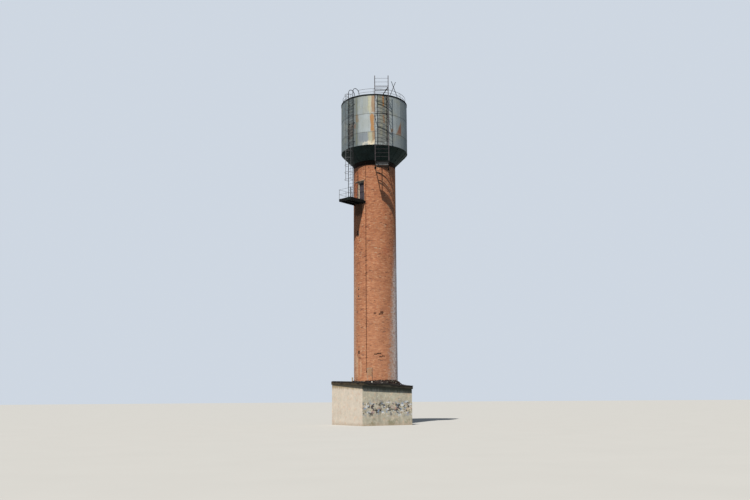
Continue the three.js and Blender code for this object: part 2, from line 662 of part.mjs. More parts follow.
// Guard rail: posts and two hoops in four stretches, open where the caged ladder lands.
function buildGuardRail() {
  const whole = 360 - GUARD_GAP;
  const start = DOOR_AZIMUTH + GUARD_GAP / 2;
  const top = TANK_TOP + GUARD_HEIGHT;
  for (let i = 0; i < GUARD_SEGMENTS; i += 1) {
    const from = start + (whole * i) / GUARD_SEGMENTS + (i > 0 ? GUARD_JOINT : 0);
    const to = start + (whole * (i + 1)) / GUARD_SEGMENTS;
    const azimuths = steps(from, to, GUARD_ARC_STEPS);
    const plan = bandPlan(GUARD_RADIUS + GUARD_BAR, GUARD_RADIUS - GUARD_BAR, azimuths);
    const levels = [TANK_TOP + GUARD_HEIGHT / 2, top];
    const hoops = levels.map((z) => prism(plan, z, z + 2 * GUARD_BAR));
    const postEnds = [from + GUARD_POST_MARGIN, to - GUARD_POST_MARGIN];
    const posts = steps(...postEnds, GUARD_POSTS - 1).map((azimuth) => {
      const at = onCircle(GUARD_RADIUS, azimuth);
      return rod([at.x, at.y, roofSeat], [at.x, at.y, top + GUARD_BAR], GUARD_BAR);
    });
    place(`guard_rail_${i + 1}`, cut(joined([...hoops, ...posts]), roofSpaceFor(0)), 'steel');
  }
}

function buildPoles() {
  const poles = POLES.map(([foot, top]) => rod([...foot, slopingSeat], top, POLE_RADIUS));
  place('crossed_poles', cut(joined(poles), roofSpaceFor(FRONT_AZIMUTH)), 'steel', frontSide);
}

function clippedLine(radius, reach, bottom, top, clips) {
  const line = rod([0, -reach, bottom], [0, -reach, top], radius, ROUND_BAR_SIDES);
  const margin = (top - bottom) / clips / 2;
  const half = radius * CLIP_WIDTH;
  const holders = steps(bottom + margin, top - margin, clips - 1).map((z) => {
    return block(-half, half, -reach, -reach + CLIP_DEPTH, z - half, z + half);
  });
  return joined([line, ...holders]);
}

function buildLines() {
  const conductorReach = SHAFT_RADIUS + CONDUCTOR_OFFSET;
  const conductor = clippedLine(
    CONDUCTOR_RADIUS, conductorReach, CONDUCTOR_BOTTOM, CONDUCTOR_TOP, CONDUCTOR_CLIPS,
  );
  place('down_conductor', cut(conductor, shaftSpace(CONDUCTOR_AZIMUTH)), 'steel', conductorSide);
  const pipeTop = TANK_TOP - RIM_HEIGHT - FIT;
  const pipeReach = TANK_RADIUS + PIPE_OFFSET;
  const pipe = clippedLine(PIPE_RADIUS, pipeReach, TANK_BOTTOM, pipeTop, PIPE_CLIPS);
  place('tank_pipe', cut(pipe, tankSpaceFor(PIPE_AZIMUTH)), 'steel', pipeSide);
}

buildBase();
buildBaseRoof();
buildShaft();
buildUpperDoor();
buildTank();
buildBalcony();
buildBalconyRails();
buildCagedLadder();
buildCage();
buildLanding();
buildFrontLadder();
buildLadderTies();
buildGuardRail();
buildPoles();
buildLines();

export default tower;
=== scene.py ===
# %% [markdown]
# # A brick water tower
#
# A square plastered base carries a round brick shaft and a tank clad in galvanised sheet,
# with ladders, a balcony and a guard rail. The solid parts come from the CAD frame. This
# lesson lays the bricks, hangs the sheets, roughens the plaster and gives every surface its
# finish. Lengths are in metres, +Z is up, and an azimuth turns from -Y towards +X.

# %% Load the frame
import math
import random

import bmesh
import bpy
from mathutils import Matrix, Vector


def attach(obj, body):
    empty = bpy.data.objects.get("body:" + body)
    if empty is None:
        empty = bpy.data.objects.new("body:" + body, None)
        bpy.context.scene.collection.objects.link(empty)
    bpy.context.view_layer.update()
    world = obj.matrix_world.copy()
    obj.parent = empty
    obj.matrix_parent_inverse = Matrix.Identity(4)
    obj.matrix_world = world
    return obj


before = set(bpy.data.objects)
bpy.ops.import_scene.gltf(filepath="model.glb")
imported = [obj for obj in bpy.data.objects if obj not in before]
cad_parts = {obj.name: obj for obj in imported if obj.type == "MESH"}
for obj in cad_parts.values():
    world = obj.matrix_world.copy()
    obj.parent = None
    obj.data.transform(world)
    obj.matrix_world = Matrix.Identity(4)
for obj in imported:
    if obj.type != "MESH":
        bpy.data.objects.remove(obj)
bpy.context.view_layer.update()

# %% [markdown]
# ## Where the camera stands
#
# The picture was taken 74 m away and a little above eye height, with the camera tipped up.
# The tower leans 0.39 degrees in it, which is the camera's roll. The lens follows from how
# fast the tower narrows upwards.

# %% The camera
EYE = (-38.71, -63.42, 2.25)
VIEW_AZIMUTH = -31.4
TILT_UP = 10.9
ROLL = -0.39
LENS = 37.44
FAR_ENOUGH = 2000

aim = (
    Matrix.Rotation(math.radians(VIEW_AZIMUTH), 4, "Z")
    @ Matrix.Rotation(math.radians(90 + TILT_UP), 4, "X")
    @ Matrix.Rotation(math.radians(ROLL), 4, "Z")
)
bpy.ops.object.camera_add(location=EYE, rotation=aim.to_euler())
camera = bpy.context.object
camera.data.lens = LENS
camera.data.clip_end = FAR_ENOUGH
bpy.context.scene.camera = camera
print("camera at", EYE, "with a", LENS, "mm lens")

# %% [markdown]
# ## Node sums in Python
#
# A finish needs many small sums: how far round the tower a point is, how much rust has run
# down to it. `Value` wraps one output socket and overloads the operators, so `1 + rust * 2`
# adds its Math nodes by itself. `Nodes` is a tree with a method that adds any node, and
# `Finish` is a material with short names for the patterns used most.


# %% Values that can be added and multiplied
class Value:
    """One output of a node, which takes part in Python sums."""

    def __init__(self, nodes, socket):
        self.nodes = nodes
        self.socket = socket

    def output(self, name):
        return Value(self.nodes, self.socket.node.outputs[name])

    def sum_with(self, operation, other):
        return self.nodes.add("ShaderNodeMath", {"operation": operation}, {0: self, 1: other})

    def __add__(self, other):
        return self.sum_with("ADD", other)

    def __sub__(self, other):
        return self.sum_with("SUBTRACT", other)

    def __mul__(self, other):
        return self.sum_with("MULTIPLY", other)

    __radd__ = __add__
    __rmul__ = __mul__


def paint(code):
    """A colour as a painter's six-digit code, turned into the linear values shaders use."""
    steps = [int(code[i : i + 2], 16) / 255 for i in (0, 2, 4)]
    linear = [s / 12.92 if s <= 0.04045 else ((s + 0.055) / 1.055) ** 2.4 for s in steps]
    return (*linear, 1)


class Nodes:
    """A node tree. Colours may be given as codes, and any input as a Value or a number."""

    def __init__(self, tree):
        self.tree = tree

    def add(self, kind, settings=None, values=None, output=0):
        made = self.tree.nodes.new(kind)
        for key, value in (settings or {}).items():
            setattr(made, key, value)
        for socket, value in (values or {}).items():
            self.feed(made.inputs[socket], value)
        return Value(self, made.outputs[output])

    def feed(self, socket, value):
        if isinstance(value, Value):
            self.tree.links.new(value.socket, socket)
        else:
            coded = socket.type == "RGBA" and isinstance(value, str)
            socket.default_value = paint(value) if coded else value

    def mix(self, first, second, factor):
        return self.add("ShaderNodeMix", {"data_type": "RGBA"}, {0: factor, 6: first, 7: second}, 2)


# %% A finish and its patterns
class Finish(Nodes):
    """A procedural material on the Principled shader."""

    def __init__(self, name, specular):
        self.material = bpy.data.materials.new(name)
        self.material.use_nodes = True
        super().__init__(self.material.node_tree)
        self.shader = self.tree.nodes["Principled BSDF"]
        self.shader.inputs["Specular IOR Level"].default_value = specular
        self.spot = self.add("ShaderNodeTexCoord", output="Object")
        self.x = self.add("ShaderNodeSeparateXYZ", values={0: self.spot})
        self.y, self.z = self.x.output("Y"), self.x.output("Z")

    def azimuth(self):
        """Degrees round the tower, from -Y towards +X."""
        turn = self.add("ShaderNodeMath", {"operation": "ARCTAN2"}, {0: self.x, 1: self.y * -1})
        return turn * math.degrees(1)

    def clouds(self, scale, detail=4, rough=0.55, upright=1.0, shift=0.0):
        """Noise from 0 to 1. A small value for upright draws it out into streaks."""
        stretched = {"Vector": self.spot, "Scale": (1, 1, upright), "Location": (shift,) * 3}
        spot = self.add("ShaderNodeMapping", values=stretched)
        values = {"Vector": spot, "Scale": scale, "Detail": detail, "Roughness": rough}
        return self.add("ShaderNodeTexNoise", values=values)

    def rise(self, value, start, end):
        """0 before start and 1 after end, with a smooth step between them."""
        values = {"Value": value, "From Min": start, "From Max": end}
        if start > end:
            values = {"Value": value, "From Min": end, "From Max": start, "To Min": 1.0, "To Max": 0.0}
        return self.add("ShaderNodeMapRange", {"interpolation_type": "SMOOTHSTEP"}, values)

    def between(self, value, low, high, soft):
        """1 between low and high, fading out over soft on either side."""
        return self.rise(value, low - soft, low + soft) * self.rise(value, high + soft, high - soft)

    def blotches(self, colour, azimuth, ragged, places):
        """Lays ragged blotches over a colour, each limited in azimuth and in height."""
        for left, right, low, high, code, strength, soft in places:
            across = azimuth + (ragged - 0.5) * (soft * 11)
            up = self.z + (ragged - 0.5) * (soft * 1.2)
            inside = self.between(across, left, right, soft) * self.between(up, low, high, soft * 0.1)
            colour = self.mix(colour, code, inside * strength)
        return colour

    def shade(self, colour, factor):
        """The colour made darker or lighter: a factor of 1 leaves it as it is."""
        return self.add("ShaderNodeVectorMath", {"operation": "SCALE"}, {0: colour, "Scale": factor})

    def ramp(self, value, *stops):
        made = self.add("ShaderNodeValToRGB", values={0: value})
        elements = made.socket.node.color_ramp.elements
        while len(elements) < len(stops):
            elements.new(1.0)
        for element, (position, code) in zip(elements, stops):
            element.position = position
            element.color = paint(code)
        return made

    def tone(self):
        """The tone that each brick, sheet or stone carries."""
        return self.add("ShaderNodeAttribute", {"attribute_name": "tone"}, output="Fac")

    def wear(self, colour, roughness, height, distance, metallic=0.0, strength=1.0):
        """Feeds the shader: colour, roughness, and relief given as a height from 0 to 1."""
        bump = {"Height": height, "Distance": distance, "Strength": strength}
        fed = {"Base Color": colour, "Roughness": roughness, "Metallic": metallic}
        fed["Normal"] = self.add("ShaderNodeBump", values=bump)
        for name, value in fed.items():
            self.feed(self.shader.inputs[name], value)
        return self.material


print("shader helpers ready")

# %% [markdown]
# ## Light and floor
#
# One sun lamp stands where the shadows of the balcony and the ladders say. The world gives
# a weak, even fill, and looks paler to the camera than it shines, because shadows under a
# clear sky are deep. The floor takes the shadow but throws no light back up, so that the
# underside of the tank stays dark.

# %% Sun, sky and floor
TOWARDS_SUN = Vector((-0.440, -0.390, 0.809))
SUN_STRENGTH = 5.6
SUN_ANGLE = 0.6
SUN_COLOUR = (1.0, 0.965, 0.90)
SKY_FILL = (0.22, 0.262, 0.315, 1)
SKY_SEEN = (0.62, 0.68, 0.76, 1)
FLOOR_REACH = 900
FLOOR_COLOUR = (0.43, 0.42, 0.40)

bpy.ops.object.light_add(type="SUN", rotation=TOWARDS_SUN.to_track_quat("Z", "Y").to_euler())
sun = bpy.context.object.data
sun.energy = SUN_STRENGTH
sun.angle = math.radians(SUN_ANGLE)
sun.color = SUN_COLOUR

world = bpy.data.worlds.new("pale sky")
world.use_nodes = True
sky = Nodes(world.node_tree)
seen = sky.mix(SKY_FILL, SKY_SEEN, sky.add("ShaderNodeLightPath", output="Is Camera Ray"))
sky.feed(world.node_tree.nodes["Background"].inputs["Color"], seen)
bpy.context.scene.world = world
bpy.context.scene.view_settings.view_transform = "Standard"

bpy.ops.mesh.primitive_circle_add(vertices=96, radius=FLOOR_REACH, fill_type="NGON")
floor = bpy.context.object
floor.name = "floor"
floor.visible_diffuse = False
pale = Finish("pale floor", 0.1)
grain = pale.clouds(0.3)
colour = pale.shade(FLOOR_COLOUR, 0.97 + grain * 0.06)
floor.data.materials.append(pale.wear(colour, 0.95, grain, 0.001))
print("sun strength", SUN_STRENGTH, "and floor", floor.name)

# %% [markdown]
# ## Brickwork
#
# The shaft is laid in orange brick with pale mortar. Each brick carries its own `tone`,
# which a ramp turns into a clay colour. The weather works on bricks and mortar together:
# soot and painted shade under the tank, lime down the right side, painted whiter as painted
# light where that side turns into shade, a thinner bloom of it on the left, and a table of
# marks and stains that were read off the picture, some of them painted shade and painted
# highlight.

# %% Weather on the brickwork
LIME_TOP = 17.0
SOOT_AND_SHADE_FROM = 24.52
WALL_MARKS = (
    # azimuth from and to, height from and to, colour, strength, softness
    (-53.8, -41.2, 4.49, 5.13, "987f63", 0.70, 1.2),
    (-41.2, -39.8, 4.00, 5.12, "2b211d", 0.80, 0.5),
    (-92.4, -90.6, 5.27, 6.43, "d9c4a2", 0.60, 0.5),
    (-60.4, -59.0, 19.75, 21.30, "dcc7a4", 0.22, 0.4),
    (-76.0, -58.0, 12.0, 12.5, "8a5236", 0.35, 2.5),
    (-20.0, 2.0, 15.2, 15.8, "8d5a3f", 0.35, 2.5),
    # painted shade of spalled courses, in this row and the next three
    (-36.0, -27.5, 6.35, 6.46, "2a1812", 0.95, 0.25),
    (-28.5, -17.0, 6.42, 6.53, "2a1812", 0.95, 0.25),
    (-22.0, -15.5, 6.11, 6.23, "2a1812", 0.95, 0.25),
    (-15.0, -7.5, 6.17, 6.29, "2a1812", 0.95, 0.25),
    (-57.3, -54.7, 9.20, 9.60, "3a211a", 0.65, 0.5),
    (-57.1, -54.9, 6.10, 6.70, "4a2a20", 0.55, 0.5),
    # painted shade in the hole where bricks are missing
    (-82.8, -78.4, 6.54, 6.76, "18110f", 0.90, 0.3),
    (-97.5, -80.5, 21.10, 22.95, "a5583a", 0.45, 1.0),
    (-86.6, -84.6, 21.10, 22.90, "6b3526", 0.75, 0.4),
    # painted shadow under the lintel
    (-98.5, -82.0, 22.92, 23.06, "2a211d", 0.80, 0.4),
    # painted highlight on the sunlit top of the lintel
    (-99.0, -62.0, 23.09, 23.13, "e2d3b4", 0.55, 0.2),
    # painted shade under the balcony
    (-102.0, -67.0, 19.70, 20.95, "2b261c", 0.70, 1.2),
    (-56.6, -55.2, 19.60, 22.60, "7d4431", 0.60, 0.4),
    (-56.9, -55.1, 6.80, 19.60, "683826", 0.60, 0.4),
    (-36.2, -29.5, 10.11, 10.27, "4c3026", 0.80, 0.5),
    (-23.0, -18.5, 10.05, 10.20, "35221c", 0.85, 0.5),
    (-19.0, -10.5, 10.12, 10.36, "422a20", 0.85, 0.6),
    (-84.0, -73.0, 6.03, 6.16, "543527", 0.75, 0.6),
    (-92.0, -84.0, 4.30, 6.20, "d8bd9c", 0.35, 1.2),
    (-76.0, -71.0, 4.40, 5.90, "d8bd9c", 0.30, 1.0),
    (-8.0, 8.0, 15.9, 16.4, "a0503c", 0.30, 2.0),
)


def weather_brickwork(f, colour, cover):
    """Weathers a clay or mortar colour, with painted shade and light in it; cover says how thickly the
    lime lies on it.
    """
    azimuth = f.azimuth()
    flecks = f.clouds(4.5, 5, 0.7, 2.4, shift=3)
    crumbs = f.clouds(7, 7, 0.8, 1.8, shift=23)
    spots = f.rise(f.clouds(3.4, 6, 0.75, 1.5, shift=41), 0.40, 0.54)
    colour = f.mix(colour, "d6a684", f.rise(f.z, 20, 5) * 0.14)
    colour = f.shade(colour, 0.765 + f.clouds(0.9, 6, 0.6) * 0.43)
    narrowing = f.z * 1.7 + f.rise(f.z, 11, 17) * 5
    lime = f.rise(azimuth - narrowing + flecks * 55 + crumbs * 40 - 47, -8, 6) * f.rise(azimuth, 95, 70)
    lime = lime * f.rise(f.z, LIME_TOP + 2, LIME_TOP - 3) * f.rise(crumbs, 0.38, 0.50)
    # Painted light: the lime is painted whiter towards the right, where the shaft turns away from the sun.
    lime_with_painted_light = f.mix("b8a79b", "f4e9e1", f.rise(azimuth, 10, 36))
    colour = f.mix(colour, lime_with_painted_light, lime * cover * (0.40 + spots * 0.60))
    windward = f.rise(azimuth + crumbs * 40, -66, -84) * f.rise(azimuth - flecks * 60, -158, -138)
    windward = windward * f.rise(f.z + flecks * 9, 23, 16) * f.rise(crumbs, 0.38, 0.54)
    colour = f.mix(colour, "cfb39c", windward * (0.25 + spots * 0.5))
    bloom = f.rise(f.clouds(2.6, 6, 0.65, shift=9), 0.60, 0.78)
    colour = f.mix(colour, "c4aa93", bloom * 0.30)
    colour = f.blotches(colour, azimuth, flecks, WALL_MARKS)
    drips = f.clouds(9, 4, 0.55, 0.12, shift=17)
    colour = f.mix(colour, "4a3027", f.rise(f.z + drips * 1.6, 24.6, 25.9) * 0.45)
    # Soot and painted shade: the shaft is painted nearly black under the tank, where its shadow falls.
    soot_and_painted_shade = f.rise(f.z + (drips - 0.5) * 0.12, SOOT_AND_SHADE_FROM, SOOT_AND_SHADE_FROM + 0.06)
    return f.mix(colour, "0d0b0a", soot_and_painted_shade * 0.96)


# %% Brick and mortar
GAPS = (
    # azimuth from and to, height from and to, of bricks that are missing
    (-83.6, -77.4, 6.49, 6.78),
    (-83.6, -79.2, 12.46, 12.68),
    (-83.5, -79.7, 11.82, 11.97),
    (-12.4, -8.4, 7.37, 7.50),
    (-88.2, -80.1, 17.65, 18.2),
)
CLAYS = ((0, "663e2f"), (0.16, "91583d"), (0.42, "ab6c4a"))
CLAYS += ((0.66, "b67954"), (0.86, "c08a66"), (1, "b8987a"))


def make_brick():
    f = Finish("fired brick", 0.2)
    grain = f.clouds(38, 5, 0.7)
    clay = f.shade(f.ramp(f.tone(), *CLAYS), 0.86 + grain * 0.28)
    return f.wear(weather_brickwork(f, clay, cover=0.92), 0.82 + grain * 0.14, grain, 0.006)


def make_mortar():
    """Pale between the bricks, and nearly black where bricks are missing: painted shade for the depth of
    the gaps.
    """
    f = Finish("lime mortar", 0.15)
    grain = f.clouds(60, 5, 0.75)
    colour = weather_brickwork(f, f.ramp(grain, (0.3, "776457"), (0.7, "a6917f")), cover=0.45)
    painted_hole_shade = [(*gap, "0b0807", 0.98, 0.15) for gap in GAPS]
    return f.wear(f.blotches(colour, f.azimuth(), grain, painted_hole_shade), 0.93, grain, 0.008)


brick = make_brick()
mortar = make_mortar()
print("finishes:", brick.name, "and", mortar.name)

# %% [markdown]
# ## Galvanised sheet
#
# The casing is patched together from sheets of different ages, each with its own `tone`,
# which is also painted lighter towards the sun and darker away from it. Streaks run down
# all of them, so the noise is drawn out upright. The rusted and bleached places come from a
# table, and noise eats their edges away. The same table holds painted shade behind the wide
# ladder, a painted glare on the front and a painted highlight along the lower edge.

# %% Stains on the tank casing
ORANGE, PEACH, CREAM, OCHRE = "99692b", "8c6c48", "a6a07c", "98692f"
BROWN, OLIVE, UMBER = "87683f", "77785f", "54463b"
PAINTED_GLARE, BLUISH, RUSSET, DULL_AND_SHADE = "9aa1a3", "6f767f", "7a5a44", "595a53"
STAINS = (
    # azimuth from and to, height from and to, colour, strength, softness
    # painted shade behind the wide ladder, where its shadow falls on the casing
    (-27.0, -6.0, 26.20, 31.10, DULL_AND_SHADE, 0.75, 2.5),
    (-78.0, -60.0, 26.20, 31.10, DULL_AND_SHADE, 0.30, 2.5),
    (-63.7, -61.6, 26.30, 31.10, OLIVE, 0.55, 0.7),
    # painted glare of the sun on the sheets left of the front
    (-56.2, -38.0, 27.55, 29.30, PAINTED_GLARE, 0.55, 1.0),
    (-59.8, -40.5, 26.45, 27.46, BLUISH, 0.65, 1.0),
    (-50.5, -41.5, 29.33, 31.16, "8b8e86", 0.55, 1.0),
    (-41.5, -35.5, 29.33, 31.16, CREAM, 0.65, 1.2),
    (-41.5, -33.0, 26.50, 27.48, CREAM, 0.55, 1.2),
    (-35.6, -30.2, 29.40, 31.16, PEACH, 0.85, 0.9),
    (-37.6, -31.2, 27.52, 29.25, ORANGE, 0.90, 1.0),
    (-34.5, -30.6, 26.40, 27.60, PEACH, 0.80, 1.0),
    # painted highlight along the lower edge of the casing, in this row and the next
    (-52.0, -42.0, 26.19, 26.34, "d6cdb8", 0.75, 1.4),
    (-43.0, -30.6, 26.19, 26.52, "d6c8ac", 0.80, 1.4),
    (-17.0, -14.6, 30.00, 31.13, OCHRE, 0.85, 0.6),
    (-16.6, -13.2, 28.30, 29.25, OCHRE, 0.55, 0.8),
    (-21.0, -17.6, 27.00, 31.10, CREAM, 0.22, 0.9),
    (-12.0, -9.4, 27.20, 30.80, CREAM, 0.22, 0.9),
    (-25.8, -21.6, 30.06, 31.10, OLIVE, 0.60, 1.0),
    (-82.4, -70.0, 27.15, 28.51, UMBER, 0.70, 2.0),
    (-67.7, -64.7, 27.94, 28.38, RUSSET, 0.70, 0.8),
    (-64.5, -58.9, 28.49, 29.35, BROWN, 0.45, 1.0),
    (-2.1, 2.2, 27.57, 27.97, ORANGE, 0.60, 0.8),
    (60.0, 71.0, 27.60, 29.20, RUSSET, 0.55, 1.6),
    (112.0, 121.0, 29.40, 31.10, ORANGE, 0.55, 1.6),
    (150.0, 168.0, 26.20, 26.90, CREAM, 0.50, 1.4),
    (-152.0, -141.0, 27.70, 29.20, BROWN, 0.55, 1.6),
    (-118.0, -109.0, 29.50, 31.10, OLIVE, 0.55, 1.6),
)
SEAM_HEIGHTS = (27.44, 29.29)
SHEET_AGES = ((0, "5f686c"), (0.25, "788487"), (0.5, "8c9495"), (0.75, "9fa7a8"), (1, "b5bcbe"))


# %% Sheet for the tank casing
def make_sheet():
    """Aged sheet, with a torn triangle of rust on the right and dark lines at the seams."""
    f = Finish("galvanised sheet", 0.5)
    azimuth = f.azimuth()
    dapple = f.clouds(2.2, 6, 0.6, shift=5)
    fine = f.clouds(30, 3, 0.6, 0.035, shift=19)
    streaks = f.clouds(7.5, 5, 0.68, 0.09)
    ragged = f.clouds(4, 7, 0.74, 0.22, shift=2)
    olive = f.rise(f.clouds(1.3, shift=11), 0.50, 0.66)
    runs = f.rise(f.clouds(11, 6, 0.75, 0.3, shift=7), 0.61, 0.72)
    colour = f.ramp(f.tone(), *SHEET_AGES)
    colour = f.shade(colour, 0.30 + streaks * 0.58 + dapple * 0.24 + fine * 0.26)
    colour = f.mix(colour, "84836d", olive * 0.35)
    colour = f.blotches(colour, azimuth, ragged, STAINS)
    torn = azimuth + ragged * 5 - 2.5
    slant = torn - (f.z - 27.4) * 8.6
    wedge = f.rise(slant, 7.6, 9.6) * f.rise(torn, 23.4, 21.4) * f.between(f.z, 27.4, 29.2, 0.08)
    core = f.rise(slant, 9.4, 11.2) * f.rise(torn, 22.0, 19.8) * f.between(f.z, 27.6, 28.9, 0.15)
    seams = sum(f.between(f.z, z - 0.02, z + 0.02, 0.02) for z in SEAM_HEIGHTS)
    for code, amount in (("86705a", wedge * 0.85), ("7a4a38", core * 0.75), ("73543f", runs * 0.5)):
        colour = f.mix(colour, code, amount)
    colour = f.mix(colour, "33302c", seams * 0.75)
    dull = wedge + runs * 0.6 + olive * 0.4
    shine = 0.30 + dull * -0.2
    return f.wear(colour, 0.52 + dapple * 0.16 + dull * 0.2, dapple, 0.012, metallic=shine, strength=0.6)


sheet = make_sheet()
print("finish:", sheet.name)

# %% [markdown]
# ## Blackened sheet and rusty steel
#
# The funnel and the roof are nearly black with a little green and rust in it, and the rim,
# the balcony and the landing are blacker still. The wide ladder is plain steel, the caged
# one has kept more of its dark paint, and its cage is greyer.


# %% Dark and rusty metal
def make_dark(name, low, middle, high, rusted):
    f = Finish(name, 0.18)
    grain = f.clouds(24, 5, 0.7, shift=4)
    colour = f.ramp(f.clouds(1.6, 6, 0.62), (0.3, low), (0.55, middle), (0.75, high))
    colour = f.mix(colour, "34241c", f.rise(f.clouds(3.4, 7, 0.72, shift=8), 0.58, 0.72) * rusted)
    colour = f.mix(colour, "22352c", f.rise(f.clouds(1.1, 5, 0.55, 0.4, shift=27), 0.50, 0.64) * rusted)
    return f.wear(colour, 0.62 + grain * 0.2, grain, 0.004, metallic=0.15)


def make_steel(name, *codes, darker_behind=0.0):
    """Worn steel. What stands behind the wide ladder's own plane is made darker."""
    f = Finish(name, 0.3)
    grain = f.clouds(90, 4, 0.7, shift=2)
    colour = f.ramp(f.clouds(3.0, 6, 0.68), *zip((0.28, 0.45, 0.58, 0.74), codes))
    colour = f.shade(colour, 0.8 + grain * 0.4)
    if darker_behind:
        out = f.x * -0.521 + f.y * -0.854
        colour = f.mix(colour, "0b0b0c", f.rise(out, 4.01, 3.97) * darker_behind)
    return f.wear(colour, 0.70 + grain * 0.2, grain, 0.001, metallic=0.2)


dark = make_dark("blackened sheet", "16211e", "25322f", "374440", 0.25)
tarred = make_dark("tarred plate", "050606", "0a0b0b", "141513", 0.15)
steel = make_steel("rusty steel", "262224", "3a3436", "4b4346", "64493e", darker_behind=0.85)
painted = make_steel("dark painted steel", "121214", "1d1c1f", "2a2829", "44342d")
greyed = make_steel("greyed steel", "4a4b4d", "5a5b5d", "6a6a6b", "625950")
brown = make_steel("browned steel", "3d2319", "3d2319", "52301f", "7a4a30")
print("finishes:", [made.name for made in (dark, tarred, steel, painted, greyed, brown)])

# %% [markdown]
# ## Plaster, concrete and tar
#
# The base is rendered in cream plaster, cleaner on the left and dirtier in front, where
# people have left smears of paint. Soil has splashed up along the foot. The roof slab is
# weathered concrete, and the collar round the shaft is old tar with grit in it.

# %% Plaster
FRONT_FACE = -2.43
TINTS = (("ecd3b4", 0.35), ("aeb09f", 0.30), ("d2a080", 0.30))
SMEARS = (
    # colour, strength and where its clouds begin, the last ones on top
    ("a3756e", 0.60, 0.55),
    ("7390b0", 0.75, 0.55),
    ("e2e6ea", 0.85, 0.56),
    ("6f6a4e", 0.60, 0.55),
    ("26262b", 0.90, 0.54),
)


def make_plaster():
    f = Finish("cream plaster", 0.15)
    broad = f.clouds(0.7, 6, 0.6)
    mottle = f.clouds(3.4, 7, 0.72, shift=14)
    fine = f.clouds(16, 6, 0.7, shift=1)
    front = f.rise(f.y, FRONT_FACE + 0.03, FRONT_FACE)
    colour = f.shade(f.mix("d6c8b6", "b4ac98", front), 0.76 + broad * 0.34 + fine * 0.14)
    colour = f.shade(colour, 1.0 + (mottle - 0.5) * (0.46 + front * 0.85))
    for number, (code, amount) in enumerate(TINTS):
        cloud = f.clouds(2.4, 7, 0.75, shift=40 + 6 * number)
        colour = f.mix(colour, code, f.rise(cloud, 0.52, 0.62) * amount)
    streaks = f.rise(f.clouds(3.2, 5, 0.55, 0.1, shift=6), 0.52, 0.72)
    colour = f.mix(colour, "857c6c", streaks * (0.10 + front * 0.3))
    band = f.between(f.z + broad * 0.5, 1.2, 2.35, 0.3) * front
    above = f.between(f.z + broad * 0.5, 2.3, 3.0, 0.25) * front
    for number, (code, amount, start) in enumerate(SMEARS):
        cloud = f.clouds(2.4, 6, 0.7, 1.2, shift=20 + 7 * number)
        colour = f.mix(colour, code, f.rise(cloud, start, start + 0.04) * band * amount)
        colour = f.mix(colour, code, f.rise(cloud, start + 0.07, start + 0.11) * above * (amount * 0.6))
    moss = f.rise(f.z + mottle * 1.2, 1.25, 0.7) * f.rise(broad, 0.46, 0.58) * front
    colour = f.mix(colour, "6d6c4c", moss * 0.7)
    # Painted shade under the eaves, with dirt in it: a dark band below the slab, greenish on the front
    # where the eaves' shadow falls and brown on the left.
    underside = f.x * -0.0627 + f.y * 0.0287 + 3.46
    drips = f.clouds(6, 5, 0.55, 0.15, shift=33)
    stain = f.rise(f.z - underside + drips * 0.5, -0.26, 0.10)
    colour = f.mix(colour, f.mix("94805c", "454735", front), stain * 0.8)
    colour = f.mix(colour, "b09a82", f.rise(f.z + fine * 0.5, 0.62, 0.22) * 0.6)
    return f.wear(colour, 0.9, broad * 0.4 + mottle * 0.3 + fine * 0.3, 0.012)


# %% Concrete, tar, limewash and door paint
def make_concrete():
    """Weathered concrete, lighter and browner on the slab's left edge, as weathering and as painted
    sunlight.
    """
    f = Finish("weathered concrete", 0.2)
    broad = f.clouds(1.1, 6, 0.62)
    grit = f.clouds(45, 5, 0.75, shift=3)
    colour = f.ramp(broad, (0.32, "231e19"), (0.5, "322f26"), (0.7, "47443a"))
    # The left edge is painted lighter and browner: weathering and painted sunlight.
    painted_sun_on_left_edge = f.rise(f.x, -2.86, -2.91)
    colour = f.mix(colour, f.ramp(broad, (0.3, "352c22"), (0.7, "5c4f3b")), painted_sun_on_left_edge * 0.8)
    moss = f.rise(f.clouds(2.1, 6, 0.7, shift=12), 0.56, 0.70)
    colour = f.mix(f.shade(colour, 0.75 + grit * 0.5), "383b28", moss * 0.45)
    return f.wear(colour, 0.93, grit, 0.006)


def make_tar():
    f = Finish("old tar", 0.35)
    grit = f.clouds(70, 4, 0.8, shift=2)
    colour = f.ramp(f.clouds(3.5, 6, 0.65), (0.3, "141211"), (0.6, "28211e"), (0.78, "3f2e27"))
    return f.wear(colour, 0.60 + grit * 0.35, grit, 0.008)


def make_limewash(name, clean, dirty):
    f = Finish(name, 0.2)
    fine = f.clouds(22, 6, 0.7)
    stain = f.rise(f.clouds(4, 5, 0.55, 0.3, shift=4), 0.5, 0.7)
    return f.wear(f.shade(f.mix(clean, dirty, stain * 0.5), 0.8 + fine * 0.36), 0.9, fine, 0.006)


def make_door():
    f = Finish("painted door", 0.35)
    grain = f.clouds(9, 6, 0.68, 0.08)
    worn = f.rise(f.clouds(3, 7, 0.75, shift=5), 0.56, 0.66)
    colour = f.mix(f.ramp(grain, (0.35, "342e34"), (0.65, "49414a")), "5f5248", worn * 0.5)
    return f.wear(colour, 0.6 + worn * 0.25, grain, 0.003)


def make_rubble():
    f = Finish("rubble", 0.2)
    grain = f.clouds(50, 4, 0.7)
    burnt = ((0, "1b1716"), (0.35, "241a18"), (0.55, "3c251e"))
    pale = ((0.75, "5f5a51"), (0.92, "8a8376"), (1, "efe9da"))
    return f.wear(f.shade(f.ramp(f.tone(), *burnt, *pale), 0.8 + grain * 0.4), 0.92, grain, 0.004)


finishes = {
    "plaster": make_plaster(),
    "concrete": make_concrete(),
    "tar": make_tar(),
    "brick": mortar,
    "lintel": make_limewash("cast lintel", "68594c", "42362e"),
    "door": make_door(),
    "sheet": sheet,
    "dark": dark,
    "steel": steel,
}
whitewash = make_limewash("whitewash", "fbe9cb", "b89a78")
print("slots with a finish:", sorted(finishes))

